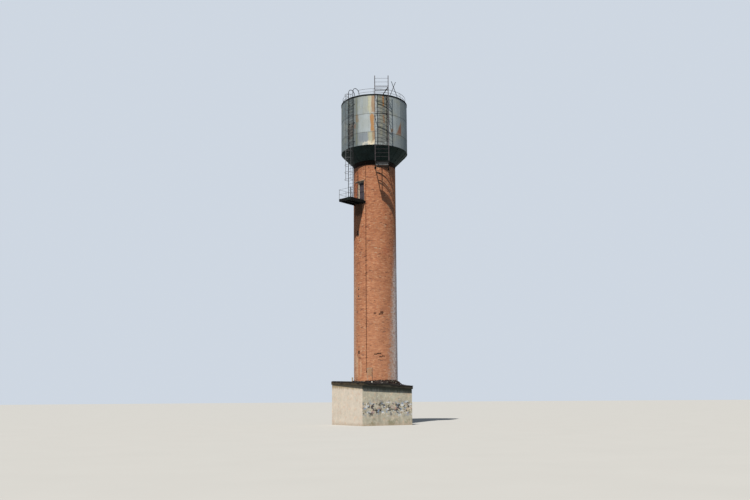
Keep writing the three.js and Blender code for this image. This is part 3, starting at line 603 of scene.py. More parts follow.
# %% Finishes on the CAD parts
dressed = (
    (finishes["plaster"], ("base_wall",)),
    (finishes["concrete"], ("base_floor", "base_roof", "shaft_cap")),
    (finishes["tar"], ("roof_tar_collar",)),
    (mortar, ("shaft_wall", "shaft_entrance_jamb", "shaft_door_jamb")),
    (finishes["lintel"], ("door_lintel",)),
    (finishes["door"], ("balcony_door", "entrance_door")),
    (sheet, ("tank_wall",)),
    (dark, ("tank_funnel", "tank_roof")),
    (steel, ("front_ladder", "tank_pipe")),
    (tarred, ("tank_rim", "balcony_frame", "balcony_deck", "landing")),
    (painted, ("caged_ladder", "ladder_tie", "crossed_poles")),
    (greyed, ("ladder_cage", "balcony_rail", "guard_rail")),
    (brown, ("down_conductor",)),
)
for finish, beginnings in dressed:
    for name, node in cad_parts.items():
        if name.startswith(beginnings):
            for holder in node.material_slots:
                holder.material = finish
print("CAD nodes with a finish of their own:", len(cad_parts))

# %% [markdown]
# ## Modelling by hand, in code
#
# Every new piece starts from a primitive and is shaped in edit mode, as it would be by
# hand. `only` makes one object the selected and active one, and `pick` selects the faces,
# edges or points that pass a test on where they are. `edit` does both and then runs one of
# Blender's operators on exactly that selection.


# %% Picking
def only(piece):
    bpy.ops.object.select_all(action="DESELECT")
    piece.select_set(True)
    bpy.context.view_layer.objects.active = piece


def shape(piece):
    """Opens a piece in edit mode with all of it selected."""
    only(piece)
    bpy.ops.object.mode_set(mode="EDIT")
    bpy.ops.mesh.select_all(action="SELECT")


def done():
    bpy.ops.object.mode_set(mode="OBJECT")


def pick(piece, kind, test):
    """Selects parts by a test on their middle and on their normal, or an edge's direction."""
    bpy.ops.mesh.select_mode(type=kind)
    bpy.ops.mesh.select_all(action="DESELECT")
    mesh = bmesh.from_edit_mesh(piece.data)
    if kind == "FACE":
        found = [f for f in mesh.faces if test(f.calc_center_median(), f.normal)]
    elif kind == "EDGE":
        ends = [(e, e.verts[0].co, e.verts[1].co) for e in mesh.edges]
        found = [e for e, a, b in ends if test((a + b) / 2, (b - a).normalized())]
    else:
        found = [v for v in mesh.verts if test(v.co, v.normal)]
    for part in found:
        part.select_set(True)
    mesh.select_flush_mode()
    bmesh.update_edit_mesh(piece.data)


def facing(*way):
    """A test for the faces that look one way."""
    return lambda middle, normal: normal.dot(Vector(way)) > 0.9


def split(point, normal, **drop):
    """Cuts the open piece along a plane."""
    bpy.ops.mesh.select_all(action="SELECT")
    bpy.ops.mesh.bisect(plane_co=point, plane_no=normal, **drop)


def edit(piece, kind, test, operator, **settings):
    """Picks parts of a piece and runs an operator on them."""
    shape(piece)
    pick(piece, kind, test)
    operator(**settings)
    done()
    return piece


def press(piece, test, thickness, step):
    """Insets the faces that pass a test and moves what is inside by a step."""
    edit(piece, "FACE", test, bpy.ops.mesh.inset, thickness=thickness)
    bpy.ops.object.mode_set(mode="EDIT")
    bpy.ops.transform.translate(value=step)
    done()
    return piece


UPWARDS = facing(0, 0, 1)
FRONTWARDS = facing(0, -1, 0)

# %% Blocks, modifiers and places
LYING = (math.pi / 2, 0, 0)


def apply_modifier(piece, kind, **settings):
    only(piece)
    modifier = piece.modifiers.new(kind, kind)
    for key, value in settings.items():
        setattr(modifier, key, value)
    bpy.ops.object.modifier_apply(modifier=modifier.name)


def settle(piece):
    """Puts the object's place, turn and size into its mesh."""
    only(piece)
    bpy.ops.object.transform_apply(location=True, rotation=True, scale=True)
    return piece


def block(low, high, soften=0.0):
    """A block between two corners, with its edges softened."""
    bpy.ops.mesh.primitive_cube_add(size=1, location=[(a + b) / 2 for a, b in zip(low, high)])
    piece = bpy.context.object
    piece.scale = [b - a for a, b in zip(low, high)]
    settle(piece)
    if soften:
        apply_modifier(piece, "BEVEL", width=soften, segments=1)
    return piece


def cut_off(piece, point, normal, fill=False):
    """Cuts a piece along a plane and drops what lies beyond it."""
    shape(piece)
    split(point, normal, clear_outer=True, use_fill=fill)
    done()
    return piece


def gather(pieces):
    """Joins pieces into one object."""
    only(pieces[0])
    for piece in pieces[1:]:
        piece.select_set(True)
    bpy.ops.object.join()
    return pieces[0]


def hang(name, piece, slot_name, finish=None, azimuth=0):
    """Turns a new piece from -Y to its azimuth, gives it its finish and lets it ride on the tower."""
    piece.rotation_euler.z = math.radians(azimuth)
    settle(piece)
    piece.name = piece.data.name = name
    piece.data.materials.clear()
    piece.data.materials.append(finish or finishes[slot_name])
    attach(piece, "root")
    print(name, "has", len(piece.data.polygons), "faces")


# %% [markdown]
# ## Setting out what repeats
#
# Bricks, sheets and rivets repeat by the hundred. Each is modelled once, and a list says
# where every copy goes, how it is turned and stretched, and what tone it has. The list
# becomes a cloud of points, and a small Geometry Nodes group sets a real copy on each.


# %% The setting-out group
def new_group(name, **inputs):
    """A new Geometry Nodes group. Gives its nodes and the first output of its entry."""
    tree = bpy.data.node_groups.new(name, "GeometryNodeTree")
    for key, kind in {"Geometry": "Geometry", **inputs}.items():
        tree.interface.new_socket(key, in_out="INPUT", socket_type="NodeSocket" + kind)
    tree.interface.new_socket("Geometry", in_out="OUTPUT", socket_type="NodeSocketGeometry")
    nodes = Nodes(tree)
    return nodes, nodes.add("NodeGroupInput")


def close_group(nodes, result):
    nodes.feed(nodes.tree.nodes.new("NodeGroupOutput").inputs[0], result)
    print("group", nodes.tree.name, "has", len(nodes.tree.nodes), "nodes")
    return nodes.tree


def run_group(piece, group, **values):
    """Applies a group to a piece, with values for its inputs."""
    only(piece)
    modifier = piece.modifiers.new(group.name, "NODES")
    modifier.node_group = group
    for socket in group.interface.items_tree:
        if socket.name in values:
            modifier[socket.identifier] = values[socket.name]
    bpy.ops.object.modifier_apply(modifier=modifier.name)
    return piece


STORED = {"turn": "FLOAT_VECTOR", "size": "FLOAT_VECTOR", "tone": "FLOAT", "shape": "INT"}


def stored(nodes, name):
    """What is stored at each point under a name."""
    made = nodes.add("GeometryNodeInputNamedAttribute", {"data_type": STORED[name]}, {"Name": name})
    outputs = made.socket.node.outputs
    return Value(nodes, next(s for s in outputs if s.enabled and s.name == "Attribute"))


nodes, entry = new_group("setting out", Shapes="Collection")
one_by_one = {"Collection": entry.output("Shapes"), "Separate Children": True, "Reset Children": True}
on_points = {
    "Points": entry,
    "Instance": nodes.add("GeometryNodeCollectionInfo", values=one_by_one),
    "Pick Instance": True,
    "Instance Index": stored(nodes, "shape"),
    "Rotation": nodes.add("FunctionNodeEulerToRotation", values={0: stored(nodes, "turn")}),
    "Scale": stored(nodes, "size"),
}
copies = nodes.add("GeometryNodeInstanceOnPoints", values=on_points)
setting_out = close_group(nodes, nodes.add("GeometryNodeRealizeInstances", values={0: copies}))


def place(at, azimuth=0.0, size=(1, 1, 1), tone=0.5, shape=0, tip=0.0, roll=0.0):
    """One copy: its point, its turn round the tower, its size, its tone and its shape."""
    turn = (tip, roll, math.radians(azimuth))
    return {"at": at, "turn": turn, "size": size, "tone": tone, "shape": shape}


def on_tower(radius, azimuth, height):
    a = math.radians(azimuth)
    return (radius * math.sin(a), -radius * math.cos(a), height)


def against(radius, x, height):
    """A place on a round wall, a distance x to the side of azimuth 0."""
    return place((x, -math.sqrt(radius * radius - x * x), height), math.degrees(math.asin(x / radius)))


def set_out(shapes, places):
    """Sets copies of the shapes on a list of places and makes them one mesh."""
    mesh = bpy.data.meshes.new("places")
    mesh.from_pydata([p["at"] for p in places], [], [])
    for key, kind in STORED.items():
        values, field = [p[key] for p in places], "value"
        if kind == "FLOAT_VECTOR":
            values, field = [n for value in values for n in value], "vector"
        mesh.attributes.new(key, kind, "POINT").data.foreach_set(field, values)
    piece = bpy.data.objects.new("places", mesh)
    yard = bpy.data.collections.new("shapes")
    bpy.context.scene.collection.objects.link(piece)
    bpy.context.scene.collection.children.link(yard)
    for number, pattern in enumerate(shapes):
        pattern.name = f"pattern_{number:02d}"
        yard.objects.link(pattern)
    run_group(piece, setting_out, Shapes=yard)
    for pattern in shapes:
        bpy.data.objects.remove(pattern)
    bpy.data.collections.remove(yard)
    for key in ("turn", "size", "shape"):
        if key in piece.data.attributes:
            piece.data.attributes.remove(piece.data.attributes[key])
    return piece


def lay_out(name, shapes, places, slot_name, finish=None, azimuth=0):
    """Sets copies out and hangs them on the tower as one piece."""
    hang(name, set_out(shapes, places), slot_name, finish, azimuth)


# %% [markdown]
# ## Uneven surfaces
#
# Hand-floated plaster, dented sheet and old tar are never flat. A second small group moves
# each point along its normal by a noise, so that the unevenness is real geometry. It can
# also sink the places where the noise is strongest, which makes spalled patches.

# %% The unevenness group
HOLLOWS = (0.60, 0.64)

nodes, entry = new_group("unevenness", Height="Float", Scale="Float", Seed="Float", Sink="Float")
noise = {"Scale": entry.output("Scale"), "W": entry.output("Seed"), "Detail": 4}
noise = nodes.add("ShaderNodeTexNoise", {"noise_dimensions": "4D"}, noise)
sunk = {"Value": noise, "From Min": HOLLOWS[0], "From Max": HOLLOWS[1]}
sunk = nodes.add("ShaderNodeMapRange", values=sunk)
height = (noise - 0.5) * entry.output("Height") - sunk * entry.output("Sink")
along = {0: nodes.add("GeometryNodeInputNormal"), "Scale": height}
along = nodes.add("ShaderNodeVectorMath", {"operation": "SCALE"}, along)
moved = nodes.add("GeometryNodeSetPosition", values={"Geometry": entry, "Offset": along})
unevenness = close_group(nodes, moved)


def roughen(piece, height, scale, seed=0, sink=0.0):
    """Makes a piece's surface uneven by a height, with hollows of a depth if sink is given."""
    return run_group(piece, unevenness, Height=height, Scale=scale, Seed=float(seed), Sink=sink)


# %% [markdown]
# ## Bricks
#
# The shaft is 4.1 m across and laid in courses of 77 mm, five of stretchers and then one of
# headers. Forty-nine stretchers go round. A brick is a block whose front edges are
# rounded off, some with a chipped corner or a worn face. The CAD wall is the mortar, and
# the bricks stand a few millimetres proud of it.

# %% Brick shapes
STRETCHER = 0.25
HEADER = 0.12
BRICK_HEIGHT = 0.065
BRICK_DEPTH = 0.045
ARRIS = 0.004
BRICK_KINDS = ({}, {"chip": (1, 1)}, {"chip": (-1, -1)}, {"worn": 0.004})


def brick_shape(length, chip=None, worn=0.0):
    """A brick whose front face is at y = 0. A chip is the corner it has lost, as (x, z) signs."""
    half = length / 2
    piece = block((-half, 0, 0), (half, BRICK_DEPTH, BRICK_HEIGHT))
    rounded = {"offset": ARRIS, "segments": 1}
    edit(piece, "FACE", FRONTWARDS, bpy.ops.mesh.bevel, **rounded)
    if chip:
        x, z = chip
        corner = Vector((x * half, 0, (z + 1) / 2 * BRICK_HEIGHT))
        cut_off(piece, corner + Vector((-x * 0.021, 0.012, -z * 0.015)), (x, -1.2, z), fill=True)
    if worn:
        shape(piece)
        for x in (-0.5, 0.05, 0.5):
            split((x * half, 0, 0), (1, 0, x * 0.6))
        split((0, 0, BRICK_HEIGHT * 0.55), (0.1, 0, 1))
        pick(piece, "VERT", lambda at, normal: at.y < ARRIS / 2 and abs(at.x) < half * 0.7)
        bpy.ops.transform.translate(value=(0, worn, 0))
        done()
        roughen(piece, 0.006, 14, seed=length * 40)
    return piece


def brick_shapes():
    return [brick_shape(length, **kind) for length in (STRETCHER, HEADER) for kind in BRICK_KINDS]


# %% [markdown]
# ## The bond, and where it is broken
#
# Bricks are cut at the sides of the upper doorway, round its lintel and at a small opening
# near the foot that was bricked up later. A few are missing altogether: single holes on the
# left, one low on the front, and a small dark opening high on the left.

# %% Laying the courses
COURSE = 0.077
STRETCHERS_ROUND = 49
HEADER_EVERY = 6
COURSES_FROM = 3.56
COURSES_TO = 24.99
BRICK_FACE = 2.0555
JOINT = 0.012
DOORWAY = (-83.65, -61.15, 21.05, 23.0)
LINTEL_BED = (-96.9, -59.15, 23.0, 23.105)
BLOCKED_OPENING = (-54.9, -40.0, 3.5, 5.17)
CUT_ROUND = (DOORWAY, LINTEL_BED, BLOCKED_OPENING)
SMALLEST_CUT = 0.05
TONE_MIDDLE = 0.52
TONE_SPREAD = 0.17
BURNT_SHARE = 0.035
chance = random.Random(11)


def brick_kind():
    """Most bricks are whole; the rest have lost a corner or part of their face."""
    return chance.choices((0, 1, 2, 3), weights=(70, 10, 9, 11))[0]


def within(tone):
    return min(max(tone, 0.0), 1.0)


def brick_tone():
    tone = chance.gauss(TONE_MIDDLE, TONE_SPREAD)
    burnt = chance.random() < BURNT_SHARE
    return within(tone - 0.35 * burnt)


def lay_brick(start, end, height, tone):
    """One brick between two azimuths, cut to the room it has."""
    middle = (start + end) / 2
    room = 2 * BRICK_FACE * math.sin(math.radians((end - start) / 2))
    header = room < (STRETCHER + HEADER) / 2
    proud = chance.gauss(0, 0.0012)
    return place(
        on_tower(BRICK_FACE + proud, middle, height + chance.gauss(0, 0.0008)),
        middle,
        size=(room / (HEADER if header else STRETCHER), 1, 1),
        tone=tone,
        shape=brick_kind() + len(BRICK_KINDS) * header,
        roll=chance.gauss(0, 0.004),
    )


def is_missing(middle, height):
    """Whether a brick lies in one of the gaps in the shaft."""
    level = height + BRICK_HEIGHT / 2
    return any(left < middle < right and bottom < level < top for left, right, bottom, top in GAPS)


def cut_at_openings(start, end, height):
    for left, right, bottom, top in CUT_ROUND:
        beside = height + BRICK_HEIGHT <= bottom + 0.004 or height >= top - 0.004
        if beside or end <= left or start >= right:
            continue
        if start < left:
            end = left
        elif end > right:
            start = right
        else:
            return None
    return start, end


def lay_course(number, first=-180.0, last=180.0, openings=True):
    height = COURSES_FROM + number * COURSE
    headers = number % HEADER_EVERY == HEADER_EVERY - 1
    pitch = 360 / STRETCHERS_ROUND / (2 if headers else 1)
    offset = pitch / 2 if number % 2 else 0.0
    bricks = []
    for i in range(math.ceil((last - first) / pitch)):
        start = first + offset + i * pitch
        span = (start, start + pitch - math.degrees(JOINT / BRICK_FACE))
        if openings:
            span = cut_at_openings(*span, height)
        elif span[1] > last:
            span = (start, last)
        if span is None or is_missing(sum(span) / 2, height):
            continue
        if math.radians(span[1] - span[0]) * BRICK_FACE > SMALLEST_CUT:
            bricks.append(lay_brick(*span, height, brick_tone()))
    return bricks


def courses_below(level):
    return range(int((level - COURSES_FROM) / COURSE))


# %% The shaft's bricks, in four quarters
left, right, _, top = BLOCKED_OPENING
places = []
for number in courses_below(COURSES_TO):
    places += lay_course(number)
for number in courses_below(top):
    places += lay_course(number, left + 0.5, right - 0.6, openings=False)

for quarter in range(4):
    own = [p for p in places if math.floor(math.degrees(p["turn"][2]) / 90 + 2) % 4 == quarter]
    lay_out(f"shaft_bricks_{quarter + 1}", brick_shapes(), own, "brick", brick)
print("bricks laid:", len(places))

# %% [markdown]
# ## The tank's sheets
#
# Thirty-six sheets go round the casing in three courses, the upper ones lapped over the
# lower. A sheet is cut out of a round shell: a cylinder is added, all but ten degrees of it
# is deleted, the rest is dented and given its thickness, and one edge is folded out over
# its neighbour. Three different dented sheets are enough, because tone and course vary.

# %% Sheet shapes
SHEETS_ROUND = 36
SHEET_TURN = 360 / SHEETS_ROUND
FIRST_SEAM = -60.7
SHEET_RADIUS = 3.2555
SHEET_THICKNESS = 0.0025
SHEET_LEVELS = (26.172, 27.46, 29.31, 31.127)
SHEET_LAP = 0.04
COURSE_SPREAD = 0.0012
FOLD = 0.006
COLUMNS = 4


def way_round(at):
    return math.atan2(at.x, -at.y)


def shell_strip(lower, upper, bottom, top, width, rows):
    """A strip of a cone or cylinder round the tower, centred on azimuth 0."""
    bpy.ops.mesh.primitive_cone_add(
        vertices=int(360 / width) * COLUMNS,
        radius1=lower,
        radius2=upper,
        depth=top - bottom,
        end_fill_type="NOTHING",
        location=(0, 0, (bottom + top) / 2),
    )
    strip = settle(bpy.context.object)
    half = math.radians(width / 2)
    shape(strip)
    pick(strip, "FACE", lambda middle, normal: abs(way_round(middle)) > half)
    bpy.ops.mesh.delete(type="FACE")
    for i in range(1, rows):
        split((0, 0, bottom + (top - bottom) * i / rows), (0, 0, 1))
    done()
    return strip


def tank_sheet_shape(seed):
    """A dented sheet. Its edge on the +X side is lifted, so that it lies over its neighbour."""
    strip = shell_strip(SHEET_RADIUS, SHEET_RADIUS, 0, 1, SHEET_TURN, 4)
    roughen(strip, 0.012, 2.2, seed=seed)
    edge = math.radians(SHEET_TURN / 2) * 0.9
    out = {"value": (FOLD * 2.5, -FOLD, 0)}
    edit(strip, "VERT", lambda at, normal: way_round(at) > edge, bpy.ops.transform.translate, **out)
    apply_modifier(strip, "SOLIDIFY", thickness=SHEET_THICKNESS, offset=1)
    return strip


# %% Hanging the sheets
PAINTED_LIGHT_AZIMUTH = -52.0
COURSE_TONES = (0.40, 0.60, 0.56)


def sheet_tone(azimuth, course):
    """Sheets towards the left of the front are painted lighter and those on the right darker, as painted
    sunlight and shade.
    """
    away = math.radians(azimuth - PAINTED_LIGHT_AZIMUTH)
    tone = COURSE_TONES[course] + 0.24 * math.cos(away) * math.cos(away / 2)
    return within(tone + chance.uniform(-0.13, 0.13))


places = []
for course, (bottom, top) in enumerate(zip(SHEET_LEVELS, SHEET_LEVELS[1:])):
    spread = 1 + course * COURSE_SPREAD
    lap = SHEET_LAP if course else 0.0
    for i in range(SHEETS_ROUND):
        azimuth = FIRST_SEAM + (i + 0.5) * SHEET_TURN
        tone = sheet_tone(azimuth, course)
        size = (spread, spread, top - bottom + lap)
        places.append(place((0, 0, bottom - lap), azimuth, size, tone, chance.randrange(3)))
lay_out("tank_sheets", [tank_sheet_shape(seed) for seed in (1, 6, 11)], places, "sheet")

# %% [markdown]
# Every sheet is pinned along its seams. A rivet is a shallow dome, so a low ball is cut in
# half and flattened. A slightly larger one serves as a bolt on the rim.

# %% Rivets
RIVET_STEP = 0.31


def rivet_shape(radius, rise):
    """A shallow dome on the wall at y = 0."""
    bpy.ops.mesh.primitive_uv_sphere_add(segments=6, ring_count=4, radius=radius, rotation=LYING)
    rivet = settle(bpy.context.object)
    shape(rivet)
    split((0, 0, 0), (0, 1, 0), clear_outer=True, use_fill=True)
    bpy.ops.mesh.select_all(action="SELECT")
    bpy.ops.transform.resize(value=(1, rise / radius, 1))
    done()
    return rivet


places = []
for course, (bottom, top) in enumerate(zip(SHEET_LEVELS, SHEET_LEVELS[1:])):
    radius = SHEET_RADIUS * (1 + course * COURSE_SPREAD) + SHEET_THICKNESS + 0.004
    for i in range(SHEETS_ROUND):
        seam = FIRST_SEAM + i * SHEET_TURN - 0.35
        for step in range(int((top - bottom) / RIVET_STEP)):
            at = on_tower(radius, seam, bottom + 0.1 + step * RIVET_STEP)
            places.append(place(at, seam, tone=chance.uniform(0.1, 0.6)))
lay_out("tank_rivets", [rivet_shape(0.011, 0.006)], places, "sheet")

# %% [markdown]
# ## Funnel, roof and rim
#
# The funnel under the tank is clad in twenty-four tapered sheets with a standing seam
# between each two, and the roof in the same way. A standing seam is a thin upright fold,
# so a slim block is laid along the slope and its top edge is rounded.

# %% Funnel sheets and seams
PANELS_ROUND = 24
PANEL_TURN = 360 / PANELS_ROUND
PANEL_THICKNESS = 0.004
FUNNEL_BOTTOM = (2.118, 25.004)
FUNNEL_TOP = (3.254, 26.160)
ROOF_BOTTOM = (3.288, 31.259)
ROOF_TOP = (0.06, 31.499)


def clad_cone(name, lower, upper, dent, seam_rise):
    """Tapered sheets and standing seams on a cone between two (radius, height) rings."""
    shapes = []
    for seed in (2, 5, 8):
        panel = shell_strip(lower[0], upper[0], lower[1], upper[1], PANEL_TURN, 3)
        roughen(panel, dent, 1.6, seed=seed)
        apply_modifier(panel, "SOLIDIFY", thickness=PANEL_THICKNESS, offset=1)
        shapes.append(panel)
    inner, outer = sorted((lower, upper))
    low, high = sorted((0.0, seam_rise))
    seam = block((-0.006, 0.01 - math.dist(inner, outer), low), (0.006, -0.01, high), soften=0.002)
    seam.rotation_euler.x = -math.atan2(outer[1] - inner[1], outer[0] - inner[0])
    seam.location = (0, -inner[0], inner[1])
    shapes.append(settle(seam))
    places = []
    for i in range(PANELS_ROUND):
        azimuth = (i + 0.5) * PANEL_TURN
        places.append(place((0, 0, 0), azimuth, tone=chance.uniform(0.2, 0.8), shape=chance.randrange(3)))
        places.append(place((0, 0, 0), azimuth + PANEL_TURN / 2, shape=3))
    lay_out(name, shapes, places, "dark")


clad_cone("funnel_sheets", FUNNEL_BOTTOM, FUNNEL_TOP, 0.010, -0.022)
clad_cone("roof_sheets", ROOF_BOTTOM, ROOF_TOP, 0.008, 0.028)

# %% [markdown]
# The rim is a band that hides the top of the casing. Its lower edge has a rolled drip, and
# its lengths are bolted together at short lapped joints.

# %% Rim details
RIM_JOINTS = range(-172, 188, 24)


def ring(radius, height, thickness, segments=72):
    """A thin round bar bent into a ring round the tower."""
    bpy.ops.mesh.primitive_torus_add(
        location=(0, 0, height),
        major_radius=radius,
        minor_radius=thickness,
        major_segments=segments,
        minor_segments=6,
    )
    return settle(bpy.context.object)


edges = [ring(3.287, 31.134, 0.009), ring(3.286, 31.256, 0.012)]
joint = block((-0.05, -0.006, 0), (0.05, 0.010, 0.07), soften=0.002)
joints = set_out([joint], [place(on_tower(3.292, azimuth, 31.137), azimuth) for azimuth in RIM_JOINTS])
hang("rim_edges", gather([*edges, joints]), "dark", tarred)

pairs = [azimuth + side for azimuth in RIM_JOINTS for side in (-0.6, 0.6)]
places = [place(on_tower(3.300, azimuth, 31.172), azimuth) for azimuth in pairs]
lay_out("rim_bolts", [rivet_shape(0.013, 0.009)], places, "steel")

# %% [markdown]
# ## The plastered base
#
# The four walls of the base were rendered by hand over rough brick. A fine upright grid is
# made uneven twice, once in broad waves and once in small ones with hollows, cut off under
# the sloping roof slab, and thickened inwards. The back wall's skin is also cut out round
# the entrance.

# %% Plaster skins
BASE_LOW = (-2.88, -2.45)
BASE_HIGH = (2.385, 3.29)
ROOF_POINT = Vector((-2.88, -2.45, 3.87))
ROOF_NORMAL = Vector((0.33 / 5.265, -0.165 / 5.74, 1))
SLAB_THICKNESS = 0.30
SKIN_HEIGHT = 3.9
PLASTER = 0.012
GRID_STEP = 0.045
ENTRANCE = (0.451, 2.15)


def roof_height(x, y):
    return ROOF_POINT.z - (ROOF_NORMAL.x * (x - ROOF_POINT.x) + ROOF_NORMAL.y * (y - ROOF_POINT.y))


def plaster_skin(length, foot, azimuth, seed, opening=None):
    """An uneven upright skin, facing an azimuth, with the middle of its foot at a point."""
    bpy.ops.mesh.primitive_grid_add(
        x_subdivisions=round(length / GRID_STEP),
        y_subdivisions=round(SKIN_HEIGHT / GRID_STEP),
        size=1,
        rotation=LYING,
    )
    skin = settle(bpy.context.object)
    skin.scale = (length, 1, SKIN_HEIGHT)
    skin.location = (0, -PLASTER, SKIN_HEIGHT / 2)
    settle(skin)
    if opening:
        half, top = opening
        shape(skin)
        for x in (-half, half):
            split((x, 0, 0), (1, 0, 0))
        split((0, 0, top), (0, 0, 1))
        pick(skin, "FACE", lambda at, normal: abs(at.x) < half and at.z < top)
        bpy.ops.mesh.delete(type="FACE")
        done()
    roughen(skin, 0.016, 0.9, seed=seed)
    roughen(skin, 0.004, 3.2, seed=seed + 7, sink=0.005)
    skin.rotation_euler.z = math.radians(azimuth)
    skin.location = foot
    settle(skin)
    cut_off(skin, ROOF_POINT - Vector((0, 0, SLAB_THICKNESS + 0.004)), ROOF_NORMAL)
    apply_modifier(skin, "SOLIDIFY", thickness=0.03, offset=-1)
    return skin


(left, front), (right, back) = BASE_LOW, BASE_HIGH
wide = right - left + 2 * PLASTER
deep = back - front + 2 * PLASTER
across, along = (left + right) / 2, (front + back) / 2
hang("plaster_front", plaster_skin(wide, (across, front, 0), 0, 3), "plaster")
hang("plaster_left", plaster_skin(deep, (left, along, 0), -90, 21), "plaster")
hang("plaster_right", plaster_skin(deep, (right, along, 0), 90, 42), "plaster")

# %% [markdown]
# The back wall is wider on one side of the entrance than on the other, so its skin is made
# about the entrance's own middle and then trimmed to the wall's end.

# %% Back wall
far = max(abs(left), right) + PLASTER
back_skin = plaster_skin(2 * far, (0, back, 0), 180, 63, ENTRANCE)
hang("plaster_back", cut_off(back_skin, (right + PLASTER, 0, 0), (1, 0, 0), fill=True), "plaster")

# %% [markdown]
# ## Roofing felt
#
# Five strips of felt cover the slab, each lapped over the one below it. Their ends hang
# over the edge of the slab unevenly, which gives the base its dark, ragged top line. A
# strip is a grid on the slope whose end edges are extruded downwards twice, and a hem that
# waves in and out and up and down is worked into the lowest row.

# %% Felt strips
FELT = 0.005
STRIP_WIDTH = 1.24
STRIP_LAP = 0.08
OVERHANG = 0.012
SLAB_LEFT = -3.08
SLAB_RIGHT = 2.385
SLAB_FRONT = -2.725
SLAB_BACK = 3.39
LEFT_TAPER = 0.15
FRONT_TAPER = 0.07
INSIDE_SHAFT = 1.93


def slab_left(y):
    """The left edge of the slab runs in a little towards the back."""
    return SLAB_LEFT + LEFT_TAPER * (y - SLAB_FRONT) / (SLAB_BACK - SLAB_FRONT)


def slab_front(x):
    """The front edge runs in a little towards the right."""
    return SLAB_FRONT + FRONT_TAPER * (x - SLAB_LEFT) / (SLAB_RIGHT - SLAB_LEFT)


def felt_strip(number):
    """One strip across the slab, running from its left edge to its right edge."""
    start = SLAB_FRONT - OVERHANG + number * (STRIP_WIDTH - STRIP_LAP)
    end = min(start + STRIP_WIDTH, SLAB_BACK + OVERHANG)
    middle = (start + end) / 2
    left, right = slab_left(middle) - OVERHANG, SLAB_RIGHT + OVERHANG
    bpy.ops.mesh.primitive_grid_add(x_subdivisions=110, y_subdivisions=24, size=1)
    strip = bpy.context.object
    strip.scale = (right - left, end - start, 1)
    strip.location = ((left + right) / 2, middle, 0)
    settle(strip)
    hanging = [lambda at, way: at.x < left + 0.001, lambda at, way: at.x > right - 0.001]
    if number == 0:
        hanging.append(lambda at, way: at.y < start + 0.001)
    if end > SLAB_BACK:
        hanging.append(lambda at, way: at.y > end - 0.001)
    shape(strip)
    for test in hanging:
        pick(strip, "EDGE", test)
        for drop in (-0.04, -0.06):
            bpy.ops.mesh.extrude_region_move(TRANSFORM_OT_translate={"value": (0, 0, drop)})
    mesh = bmesh.from_edit_mesh(strip.data)
    for at in (point.co for point in mesh.verts):
        x, y = at.x, at.y
        hem = math.sin(x * 2.3 + number) * math.sin(y * 3.1 + 1)
        hem += 0.6 * math.sin(x * 9.7) * math.cos(y * 8.3)
        at.x += 0.5 * (slab_left(y) - slab_left(middle)) * (x < 0)
        if number == 0 and y < start + 0.2:
            at.y += slab_front(x) - SLAB_FRONT - 0.016 * abs(hem)
        if x < left + 0.05:
            at.x -= 0.014 * abs(hem)
        if at.z < -0.07:
            at.z += 0.05 * hem + chance.uniform(-0.014, 0.014)
        at.z += roof_height(at.x, at.y) + 0.012 + 0.004 * number
    bmesh.update_edit_mesh(strip.data)
    pick(strip, "FACE", lambda at, normal: math.hypot(at.x, at.y) < INSIDE_SHAFT)
    bpy.ops.mesh.delete(type="FACE")
    done()
    roughen(strip, 0.012, 1.7, seed=number)
    apply_modifier(strip, "SOLIDIFY", thickness=FELT, offset=1)
    return strip


hang("roof_felt", gather([felt_strip(number) for number in range(5)]), "tar")

# %% [markdown]
# ## Rubble and a vent
#
# Bits of brick, mortar and stone lie in the tar round the shaft, and most of them on the
# side where it is heaped up. A stone is a ball with few faces, squashed and roughened. A
# shard is a broken brick: a block cut across at two slants. A short vent pipe stands
# against the left of the shaft.

# %% Rubble
HEAP_AZIMUTH = 22.0
HEAP_RISE = 0.29
HEAP_REACH = 0.20
TAR_REACH = 0.23
TAR_RISE = 0.12
TAR_EDGE = 0.04
BITS = 420
TONES = (0.0, 0.05, 0.1, 0.15, 0.3, 0.45, 0.5, 0.55, 0.6, 0.8)
PALE_STONES = (
    # x, y, size and tone
    (-1.9, -2.45, 0.17, 1.0),
    (-2.5, -1.7, 0.08, 0.9),
    (-0.9, -2.55, 0.09, 0.95),
    (1.7, -2.4, 0.1, 0.9),
)


def heap_share(azimuth):
    return max(0.0, math.cos(math.radians(azimuth - HEAP_AZIMUTH))) ** 1.2


def tar_height(away, azimuth):
    """Height of the tar over the roof at a distance from the shaft's axis."""
    share = heap_share(azimuth)
    down = within((away - 2.05) / (TAR_REACH + HEAP_REACH * share))
    return TAR_EDGE + (TAR_RISE + HEAP_RISE * share - TAR_EDGE) * (1 - down)


def shard_shape(slant):
    shard = block((-0.5, -0.25, -0.14), (0.5, 0.25, 0.14), soften=0.02)
    cut_off(shard, (0.28, 0, 0), (1, slant, 0.3), fill=True)
    return cut_off(shard, (-0.36, 0, 0), (-1, 0.4, slant), fill=True)


def stone_shape(seed):
    bpy.ops.mesh.primitive_ico_sphere_add(subdivisions=2, radius=0.5)
    stone = bpy.context.object
    stone.scale = (1, 0.6 + 0.1 * seed, 0.42 + 0.06 * seed)
    return roughen(settle(stone), 0.45, 1.6, seed=seed + 1)


